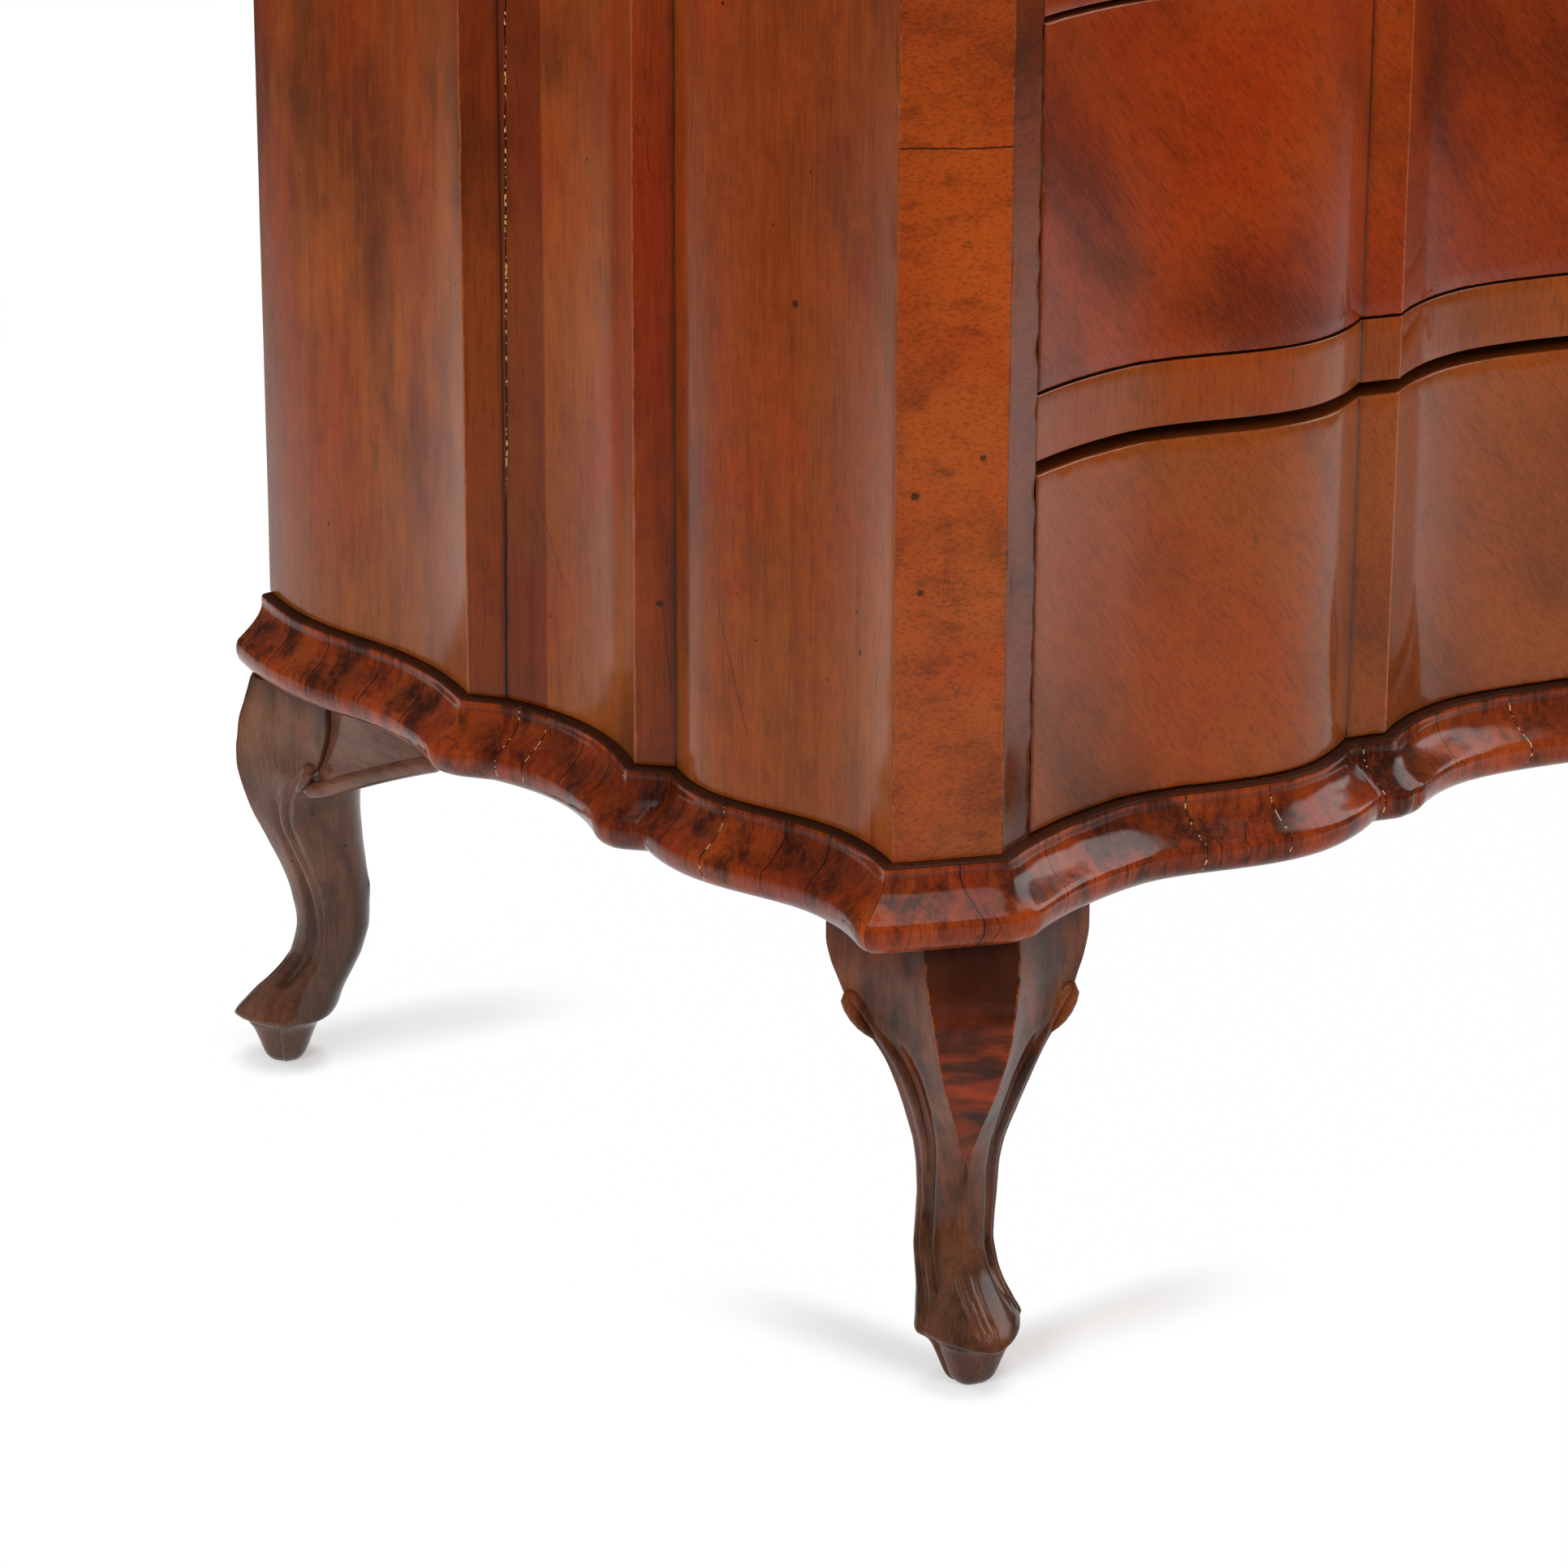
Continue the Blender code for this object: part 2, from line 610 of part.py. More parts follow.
# Leg rows from the floor up. Each has its share of the height, front and back reach, how far out and
# sideways its widest point lies, half width of the front facet, fullness of the flanks, share of wing.
LEG_ROWS = (
    (0.0, FOOT_RADIUS, -FOOT_RADIUS, 0.0, FOOT_RADIUS, 0.0015, 0.95, 0.0),
    (0.101, FOOT_TOP_RADIUS, -FOOT_TOP_RADIUS, 0.0, FOOT_TOP_RADIUS, 0.0025, 0.9, 0.0),
    (0.115, COLLAR_REACH - 0.002, -COLLAR_REACH + 0.003, 0.0, 0.0236, 0.002, 0.5, 0.0),
    (0.134, COLLAR_REACH, -COLLAR_REACH, 0.0, 0.0250, 0.0022, 0.45, 0.0),
    (0.162, COLLAR_REACH - 0.0035, -COLLAR_REACH - 0.0015, -0.002, 0.0228, 0.0028, 0.5, 0.0),
    (0.197, 0.0118, -0.0320, -0.008, ANKLE_HALF_WIDTH + 0.0020, 0.0025, 0.5, 0.0),
    (0.240, 0.0022, -0.0365, -0.015, ANKLE_HALF_WIDTH + 0.0008, 0.0022, 0.45, 0.0),
    (0.286, -0.0045, -0.0410, -0.021, ANKLE_HALF_WIDTH + 0.0003, 0.002, 0.45, 0.0),
    (0.356, -0.0076, -0.0445, -0.024, ANKLE_HALF_WIDTH, 0.0018, 0.45, 0.0),
    (0.427, -0.0052, -0.0450, -0.023, ANKLE_HALF_WIDTH + 0.0005, 0.0018, 0.4, 0.0),
    (0.497, -0.0005, -0.0436, -0.020, ANKLE_HALF_WIDTH + 0.0018, 0.0022, 0.3, 0.0),
    (0.572, 0.0060, -0.0418, -0.016, ANKLE_HALF_WIDTH + 0.0056, 0.0055, 0.15, 0.1),
    (0.656, 0.0128, -0.0412, -0.012, WING_REACH - 0.0285, 0.0105, 0.0, 0.35),
    (0.722, 0.0164, -0.0425, -0.014, WING_REACH - 0.0215, 0.0140, -0.1, 0.65),
    (SCROLL_SHARE, 0.0180, -0.0440, -0.020, WING_REACH - 0.0135, 0.0162, -0.16, 0.85),
    (0.813, 0.0180, -0.0450, -0.0265, WING_REACH - 0.0068, 0.0175, -0.18, 0.95),
    (0.853, 0.0170, -0.0460, -0.0305, WING_REACH - 0.0040, 0.0188, -0.18, 1.0),
    (0.891, 0.0158, -0.0470, -0.0330, WING_REACH - 0.0020, 0.0198, -0.18, 1.0),
    (0.942, 0.0125, -0.0490, -0.0350, WING_REACH, 0.0208, -0.16, 1.0),
    (1.0, 0.0090, -0.0500, -0.0350, WING_REACH, 0.0212, -0.12, 1.0),
)


def leg_half(row):
    """Right half of one row, from the front middle to the back middle: out, sideways."""
    _, front, back, wide_at, half, facet, full, winged = row
    turn = math.radians(WING_TURN)
    ear = Vector((wide_at, half))
    plain_inner = Vector((back * 0.75 + front * 0.25, half * 0.9))
    winged_inner = ear + Vector((-math.sin(turn), -math.cos(turn))) * WING_THICKNESS
    inner = plain_inner.lerp(winged_inner, winged)
    start = Vector((front, facet))
    corner = Vector((front, half))
    control = (start + ear) / 2 + (corner - (start + ear) / 2) * full
    points = [Vector((front, 0.0)), start]
    for i in (1, 2, 3):
        t = i / 4
        points.append(start * (1 - t) ** 2 + control * (2 * t * (1 - t)) + ear * t ** 2)
    points += [ear, inner]
    back_reach = min(back, inner.x - 0.002)
    points.append(Vector((back_reach, inner.y * 0.55)))
    points.append(Vector((back_reach, 0.0)))
    return points


def build_leg(name, foot, pointing, material):
    """A cabriole leg lofted through its rows and turned to its corner."""
    out = Vector((math.cos(pointing), math.sin(pointing)))
    across = Vector((-out.y, out.x))
    rings = []
    for row in LEG_ROWS:
        half = leg_half(row)
        section = half + [Vector((p.x, -p.y)) for p in reversed(half[1:-1])]
        ring = []
        for p in section:
            place = foot + out * p.x + across * p.y
            ring.append((place.x, place.y, row[0] * LEG_TOP))
        rings.append(ring)
    return loft(name, rings, material, smooth=40)


def build_legs(material):
    """Front legs under the canted corners, back legs under the back corners."""
    foot_y = CORNER_Y + FRONT_FOOT_Y
    foot_x = HALF_WIDTH - FRONT_FOOT_X
    turn = math.radians(FRONT_LEG_TURN)
    build_leg("leg_front_right", Vector((foot_x, foot_y)), turn - math.pi / 2, material)
    build_leg("leg_front_left", Vector((-foot_x, foot_y)), -turn - math.pi / 2, material)
    foot_y = BACK_Y - BACK_FOOT_FROM_BACK
    foot_x = HALF_WIDTH - BACK_FOOT_X
    turn = math.radians(BACK_LEG_TURN)
    build_leg("leg_back_right", Vector((foot_x, foot_y)), math.pi / 2 - turn, material)
    build_leg("leg_back_left", Vector((-foot_x, foot_y)), math.pi / 2 + turn, material)


def bracket_start():
    """End of a bracket from the top down: clear of the back leg's wing, then hanging below it."""
    turn = math.radians(BACK_LEG_TURN)
    foot_y = BACK_Y - BACK_FOOT_FROM_BACK
    points = []
    for row in reversed(LEG_ROWS):
        if row[0] > SCROLL_SHARE:
            ear_y = foot_y + row[3] * math.cos(turn) - row[4] * math.sin(turn)
            points.append((ear_y - 1.5 * GAP, row[0] * LEG_TOP))
    points.append((points[-1][0] - BRACKET_HOLLOW, LEG_TOP - BRACKET_DROP))
    return points


def build_brackets(material):
    """Brackets under the side mouldings, in front of the back legs."""
    outline = bracket_start()
    start, low = outline[-1]
    stop = outline[0][0] - BRACKET_LENGTH
    end = LEG_TOP - BRACKET_END
    for i in range(1, 6):
        t = i / 6
        z = low + (end - low) * t + BRACKET_HOLLOW * math.sin(math.pi * t)
        outline.append((start + (stop - start) * t, z))
    outline += [(stop, end), (stop, LEG_TOP)]
    outer = HALF_WIDTH + BRACKET_OUT
    for side, name in ((1, "bracket_back_right"), (-1, "bracket_back_left")):
        xs = (side * outer, side * (outer - BRACKET_THICKNESS))
        rings = [[(x, y, z) for y, z in outline] for x in xs]
        loft(name, rings, material)


def drawer_inside_y(x):
    """Inner face of a drawer front: level behind the box sides and behind the lock."""
    edge = OPENING_X - DRAWER_SIDE_GAP - BOX_SIDE_THICKNESS - 0.002
    place = min(max(abs(x), LOCK_HALF_FLAT), edge)
    return front_y(place) + FRONT_THICKNESS


def bolt_y():
    """Middle of the bolts."""
    return drawer_inside_y(0.0) + GAP + LOCK_DEPTH / 2


def build_drawer_front(name, low, high, groove, material):
    """A shaped front, grooved inside for the bottom, with a keyhole."""
    edge = OPENING_X - DRAWER_SIDE_GAP
    stations = front_stations(edge)
    flat = OPENING_X - DRAWER_SIDE_GAP - BOX_SIDE_THICKNESS - 0.002
    stations += [-flat, -LOCK_HALF_FLAT, LOCK_HALF_FLAT, flat]
    stations = sorted(set(round(x, 6) for x in stations))
    rings = []
    for x in stations:
        outside = front_y(x)
        inside = drawer_inside_y(x)
        cut = inside - GROOVE_DEPTH
        section = [(outside, low), (outside, high), (inside, high), (inside, groove[1])]
        section += [(cut, groove[1]), (cut, groove[0]), (inside, groove[0]), (inside, low)]
        rings.append([(x, y, z) for y, z in section])
    return loft(name, rings, material, smooth=30)


def build_box(name, floor, high, material, soft_material):
    """Sides, back and bottom of one drawer."""
    low = floor + GAP
    bottom_low = floor + BOX_BOTTOM_RAISE
    bottom_high = bottom_low + BOX_BOTTOM_THICKNESS
    groove = (bottom_low - GAP, bottom_high + GAP)
    outer = OPENING_X - DRAWER_SIDE_GAP
    inner = outer - BOX_SIDE_THICKNESS
    front = drawer_inside_y(outer) + GAP
    back = BACK_INSIDE_Y - DRAWER_BACK_CLEARANCE
    section = [(outer, low), (outer, high), (inner, high), (inner, groove[1])]
    section += [(inner + GROOVE_DEPTH, groove[1]), (inner + GROOVE_DEPTH, groove[0])]
    section += [(inner, groove[0]), (inner, low)]
    for side, word in ((1, "right"), (-1, "left")):
        rings = [[(side * x, y, z) for x, z in section] for y in (front, back)]
        loft(name + "_side_" + word, rings, material)
    back_face = back - BOX_BACK_THICKNESS
    low_corner = (-inner + GAP, back_face, bottom_high + GAP)
    box(name + "_back", low_corner, (inner - GAP, back, high - 0.006), material)
    reach = inner + GROOVE_DEPTH - GAP
    line = [x for x in front_stations(inner - 0.003) if abs(x) > LOCK_HALF_FLAT + 0.001]
    line = sorted(line + [-LOCK_HALF_FLAT, LOCK_HALF_FLAT])
    tongue = GROOVE_DEPTH - GAP
    outline = [(x, drawer_inside_y(x) - tongue) for x in line]
    shoulder = drawer_inside_y(inner) + GAP * 2
    outline = [(-reach, shoulder), (-inner + GAP, shoulder)] + outline
    outline += [(inner - GAP, shoulder), (reach, shoulder), (reach, back), (-reach, back)]
    prism(name + "_bottom", outline, bottom_low, bottom_high, soft_material)


def build_lock(name, front_top, metal, brass):
    """Lock case, bolt, keyhole plate and key behind and before the middle of a drawer front."""
    crest = CORNER_Y + CENTRE_DEPTH
    inside = drawer_inside_y(0.0) + GAP
    top = front_top - LOCK_TOP_DROP
    low = top - LOCK_HEIGHT
    half = LOCK_WIDTH / 2
    case = box(name + "_case", (-half, inside, low), (half, inside + LOCK_DEPTH, top), metal)
    hollow = cutter(
        "cut_" + name + "_hollow",
        (-half + LOCK_WALL, inside - 0.01, low + LOCK_WALL),
        (half - LOCK_WALL, inside + LOCK_DEPTH - LOCK_WALL, top - LOCK_WALL),
    )
    combine(case, hollow, "DIFFERENCE")
    middle = bolt_y()
    slot = cutter(
        "cut_" + name + "_slot",
        (-BOLT_WIDTH / 2 - GAP, middle - BOLT_DEPTH / 2 - GAP, top - LOCK_WALL - 0.004),
        (BOLT_WIDTH / 2 + GAP, middle + BOLT_DEPTH / 2 + GAP, top + 0.01),
    )
    combine(case, slot, "DIFFERENCE")
    bolt_top = top - 0.0005
    bolt_low = (-BOLT_WIDTH / 2, middle - BOLT_DEPTH / 2, bolt_top - BOLT_HEIGHT)
    bolt_high = (BOLT_WIDTH / 2, middle + BOLT_DEPTH / 2, bolt_top)
    box(name + "_bolt", bolt_low, bolt_high, metal, origin=(0.0, middle, bolt_top))
    key_z = low + KEY_RISE
    build_plate(name + "_escutcheon", crest, key_z, brass)
    build_key(name + "_key", crest, inside, key_z, brass)
    return key_z


def build_plate(name, crest, key_z, material):
    """An oval keyhole plate on the crest of the front."""
    count = 24
    outer = []
    inner = []
    hole = KEY_RADIUS + GAP
    for i in range(count):
        turn = 2 * math.pi * i / count
        outer.append((PLATE_WIDTH / 2 * math.cos(turn), key_z + PLATE_HEIGHT / 2 * math.sin(turn)))
        inner.append((hole * math.cos(turn), key_z + hole * math.sin(turn)))
    bm = bmesh.new()
    near = crest - GAP - PLATE_THICKNESS
    far = crest - GAP
    rows = []
    for ring, y in ((outer, near), (outer, far), (inner, far), (inner, near)):
        rows.append([bm.verts.new((x, y, z)) for x, z in ring])
    for k in range(4):
        row = rows[k]
        after = rows[(k + 1) % 4]
        for i in range(count):
            j = (i + 1) % count
            bm.faces.new((row[i], row[j], after[j], after[i]))
    return finish(name, bm, material, (0.0, crest, key_z), smooth=40)


def build_key(name, crest, inside, key_z, material):
    """A key lying in its keyhole, its origin on the axis that it turns about."""
    origin = Vector((0.0, crest, key_z))
    bm = bmesh.new()
    near = crest - KEY_OUT
    far = inside + KEY_IN
    count = 12
    rings = []
    for y in (near, far):
        rings.append([
            (KEY_RADIUS * math.cos(2 * math.pi * i / count), y, key_z + KEY_RADIUS * math.sin(2 * math.pi * i / count))
            for i in range(count)
        ])
    key = loft(name, rings, material, origin, smooth=40)
    # Bow: a ring standing upright at the outer end.
    ring_middle = near - BOW_RADIUS + BOW_WIRE * 0.3
    around = 20
    section = 8
    rows = []
    for i in range(around):
        turn = 2 * math.pi * i / around
        row = []
        for k in range(section):
            roll = 2 * math.pi * k / section
            reach = BOW_RADIUS + BOW_WIRE * math.cos(roll)
            place = (BOW_WIRE * math.sin(roll), ring_middle + reach * math.cos(turn), key_z + reach * math.sin(turn))
            row.append(bm.verts.new(place))
        rows.append(row)
    for i in range(around):
        row = rows[i]
        after = rows[(i + 1) % around]
        for k in range(section):
            j = (k + 1) % section
            bm.faces.new((row[k], row[j], after[j], after[k]))
    bm.normal_update()
    bmesh.ops.recalc_face_normals(bm, faces=bm.faces)
    bow_mesh = bpy.data.meshes.new("add_" + name + "_bow")
    bm.to_mesh(bow_mesh)
    bm.free()
    bow = hide_cutter("add_" + name + "_bow", bow_mesh, (0.0, 0.0, 0.0))
    combine(key, bow, "UNION")
    # Bit: a small flag inside the lock that lies to the left until the key is turned.
    bit_far = far - 0.001
    bit = cutter(
        "add_" + name + "_bit",
        (-KEY_BIT_LENGTH, bit_far - KEY_BIT_WIDTH, key_z - 0.001),
        (-KEY_RADIUS * 0.4, bit_far, key_z + 0.001),
    )
    combine(key, bit, "UNION")
    return key


def build_drawer(name, floor, ceiling, top_gap, show, inner, bottom, metal, brass):
    """One drawer with its lock."""
    front_low = floor + DRAWER_FOOT_GAP
    front_high = ceiling - top_gap
    bottom_low = floor + BOX_BOTTOM_RAISE
    groove = (bottom_low - GAP, bottom_low + BOX_BOTTOM_THICKNESS + GAP)
    front = build_drawer_front("drawer_" + name + "_front", front_low, front_high, groove, show)
    build_box("drawer_" + name, floor, ceiling - BOX_SIDE_DROP, inner, bottom)
    key_z = build_lock("lock_" + name, front_high, metal, brass)
    hole = round_cutter(
        "cut_drawer_" + name + "_keyhole",
        (0.0, CORNER_Y + CENTRE_DEPTH + FRONT_THICKNESS / 2, key_z),
        KEY_RADIUS + 0.001,
        FRONT_THICKNESS * 2,
    )
    combine(front, hole, "DIFFERENCE")


def main():
    """Build the whole chest."""
    clear_scene()
    show = wood("walnut_polished", (0.27, 0.085, 0.025), 0.3)
    side = wood("walnut_side", (0.25, 0.095, 0.035), 0.34)
    dark = wood("walnut_dark", (0.13, 0.035, 0.012), 0.28)
    leg = wood("walnut_leg", (0.085, 0.033, 0.018), 0.38)
    inner = wood("poplar_inside", (0.42, 0.28, 0.15), 0.7)
    bottom = wood("pine_bottom", (0.46, 0.31, 0.17), 0.75)
    metal = principled("iron_lock", (0.12, 0.11, 0.1), 0.45, 1.0)
    brass = principled("brass_old", (0.55, 0.37, 0.13), 0.35, 1.0)
    build_sides(side)
    build_front_posts(side)
    build_back(inner)
    build_rails(show)
    build_floor(inner)
    build_runners(inner)
    build_mouldings(dark)
    build_top(show)
    build_legs(leg)
    build_brackets(leg)
    build_drawer("lower", BASE_TOP, LOWER_RAIL_Z, LOWER_TOP_GAP, show, inner, bottom, metal, brass)
    build_drawer("middle", MIDDLE_FLOOR_Z, UPPER_RAIL_Z, DRAWER_TOP_GAP, show, inner, bottom, metal, brass)
    build_drawer("upper", UPPER_FLOOR_Z, TOP_RAIL_Z, DRAWER_TOP_GAP, show, inner, bottom, metal, brass)


main()
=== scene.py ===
"""Looks of the serpentine chest of three drawers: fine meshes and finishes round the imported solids.

Metres, +Z up, the front faces -Y and the origin is on the floor under the middle of the chest.
"""
from __future__ import annotations

import logging
import math
from dataclasses import astuple, dataclass, replace
from enum import Enum
from typing import Callable, Sequence, Union

import bmesh
import bpy
import numpy as np
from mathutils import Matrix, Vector, noise

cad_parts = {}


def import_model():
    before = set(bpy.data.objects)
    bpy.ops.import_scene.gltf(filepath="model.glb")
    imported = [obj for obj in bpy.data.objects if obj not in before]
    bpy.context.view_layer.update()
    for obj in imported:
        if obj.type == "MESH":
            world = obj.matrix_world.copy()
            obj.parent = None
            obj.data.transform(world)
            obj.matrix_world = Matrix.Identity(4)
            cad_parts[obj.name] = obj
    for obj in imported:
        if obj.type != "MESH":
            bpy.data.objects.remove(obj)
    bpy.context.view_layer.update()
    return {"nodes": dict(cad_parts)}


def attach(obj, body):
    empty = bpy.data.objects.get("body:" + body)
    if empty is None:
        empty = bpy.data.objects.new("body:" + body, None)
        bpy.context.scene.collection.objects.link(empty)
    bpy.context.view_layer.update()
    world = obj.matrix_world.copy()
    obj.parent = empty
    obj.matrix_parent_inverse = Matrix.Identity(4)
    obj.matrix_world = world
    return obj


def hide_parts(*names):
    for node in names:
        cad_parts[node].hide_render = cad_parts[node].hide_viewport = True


LOG = logging.getLogger("chest")

Rgb = tuple[float, float, float]
Mark = Callable[[np.ndarray], np.ndarray]

GAP = 0.0003  # Clearance between neighbouring pieces.
CREASE = 0.0009  # Reach of the softening at the arrises.


def srgb(red: int, green: int, blue: int) -> Rgb:
    """Linear colour of a screen colour given in steps of 255."""
    parts = [c / 255.0 for c in (red, green, blue)]
    return tuple(c / 12.92 if c <= 0.04045 else ((c + 0.055) / 1.055) ** 2.4 for c in parts)


def fading(distance: np.ndarray, reach: float) -> np.ndarray:
    """1 at no distance, falling evenly to 0 at a reach."""
    return np.clip(1.0 - distance / reach, 0.0, 1.0)


def bow(start: np.ndarray, pull: np.ndarray, stop: np.ndarray, shares: np.ndarray) -> np.ndarray:
    """Places along a curve from start to stop, bent towards a third place, one row a share."""
    t = np.asarray(shares)[:, None]
    return start * (1 - t) ** 2 + pull * (2 * t * (1 - t)) + stop * t ** 2


def unit(rows: np.ndarray) -> np.ndarray:
    """Rows brought to a length of 1."""
    return rows / np.maximum(np.linalg.norm(rows, axis=-1, keepdims=True), 1e-9)


def outward(line: np.ndarray) -> np.ndarray:
    """Outward directions of a plan line that lies to one side of the chest's middle.

    Args:
        line: Places along the line, one row each.

    Returns:
        A direction for each place.
    """
    along = unit(np.gradient(line, axis=0))
    out = np.column_stack([along[:, 1], -along[:, 0]])
    return -out if float(np.dot(out.mean(axis=0), line.mean(axis=0))) < 0.0 else out


def raised(flat: np.ndarray, z: float) -> np.ndarray:
    """Places in the plan, taken to a height."""
    return np.column_stack([flat, np.full(len(flat), z)])


# --- Plan of the chest ---


class Shape(Enum):
    """How a run of the plan goes from its start to its end."""

    LINE = "line"
    FLARE = "flare"
    ROLL = "roll"
    WAVE = "wave"
    CREST = "crest"

    def at(self, start: float, end: float, part: np.ndarray) -> np.ndarray:
        """Offset at shares of a run.

        Args:
            start: Offset at its start.
            end: Offset at its end.
            part: Shares of the run from 0 to 1.

        Returns:
            The offsets.
        """
        if self is Shape.FLARE:
            return end + (start - end) * (1.0 - part) ** 2
        if self is Shape.ROLL:
            return start + (end - start) * part ** 1.8
        if self is Shape.WAVE:
            return start + (end - start) * (1.0 - np.cos(np.pi * part)) / 2.0
        if self is Shape.CREST:
            return start + (end - start) * (1.0 - np.cos(np.pi * part ** 0.87)) / 2.0
        return start + (end - start) * part


@dataclass(frozen=True)
class Run:
    """One run of a plan line.

    Attributes:
        length: Distance that it takes up along the case.
        end: Offset at its end.
        shape: How it gets there.
        crease: Whether an arris or a valley stands at its end.
    """

    length: float
    end: float
    shape: Shape
    crease: bool = False


@dataclass(frozen=True)
class Stretch:
    """A smooth part of the case's outline between two creases.

    Attributes:
        points: Places along it, one row each.
        normals: Outward directions at those places.
    """

    points: np.ndarray
    normals: np.ndarray

    @property
    def arc(self) -> np.ndarray:
        """Distance along the stretch at every point."""
        steps = np.linalg.norm(np.diff(self.points, axis=0), axis=1)
        return np.concatenate([[0.0], np.cumsum(steps)])

    def mirrored(self) -> "Stretch":
        """The same stretch on the other side of the chest, walked the other way."""
        flip = np.array([-1.0, 1.0])
        return Stretch(self.points[::-1] * flip, self.normals[::-1] * flip)

    def moved_out(self, out: float, cuts: tuple[np.ndarray, np.ndarray], count: int) -> np.ndarray:
        """Places along a line parallel to the stretch, from mitre to mitre.

        Args:
            out: How far outside the stretch the line lies.
            cuts: Directions of the mitres through the first and the last point.
            count: How many parts the line gets.

        Returns:
            The places, one row each.
        """
        reach = abs(out) * 1.7 + 0.002
        heads = unit(np.array([self.points[1] - self.points[0], self.points[-1] - self.points[-2]]))
        line = self.points + self.normals * out
        line = np.vstack([line[0] - heads[0] * reach, line, line[-1] + heads[1] * reach])
        arc = self.arc
        arc = np.concatenate([[-reach], arc, [arc[-1] + reach]])
        ends = []
        for corner, cut, at in ((self.points[0], cuts[0], 0.0), (self.points[-1], cuts[1], arc[-2])):
            side = cut[0] * (line[:, 1] - corner[1]) - cut[1] * (line[:, 0] - corner[0])
            change = np.nonzero(side[:-1] * side[1:] <= 0.0)[0]
            best = at
            nearest = 1e9
            for i in change:
                share = side[i] / (side[i] - side[i + 1]) if side[i] != side[i + 1] else 0.0
                place = arc[i] + (arc[i + 1] - arc[i]) * share
                if abs(place - at) < nearest:
                    nearest = abs(place - at)
                    best = place
            ends.append(best)
        stations = np.linspace(ends[0], ends[1], count + 1)
        return np.column_stack([np.interp(stations, arc, line[:, k]) for k in (0, 1)])


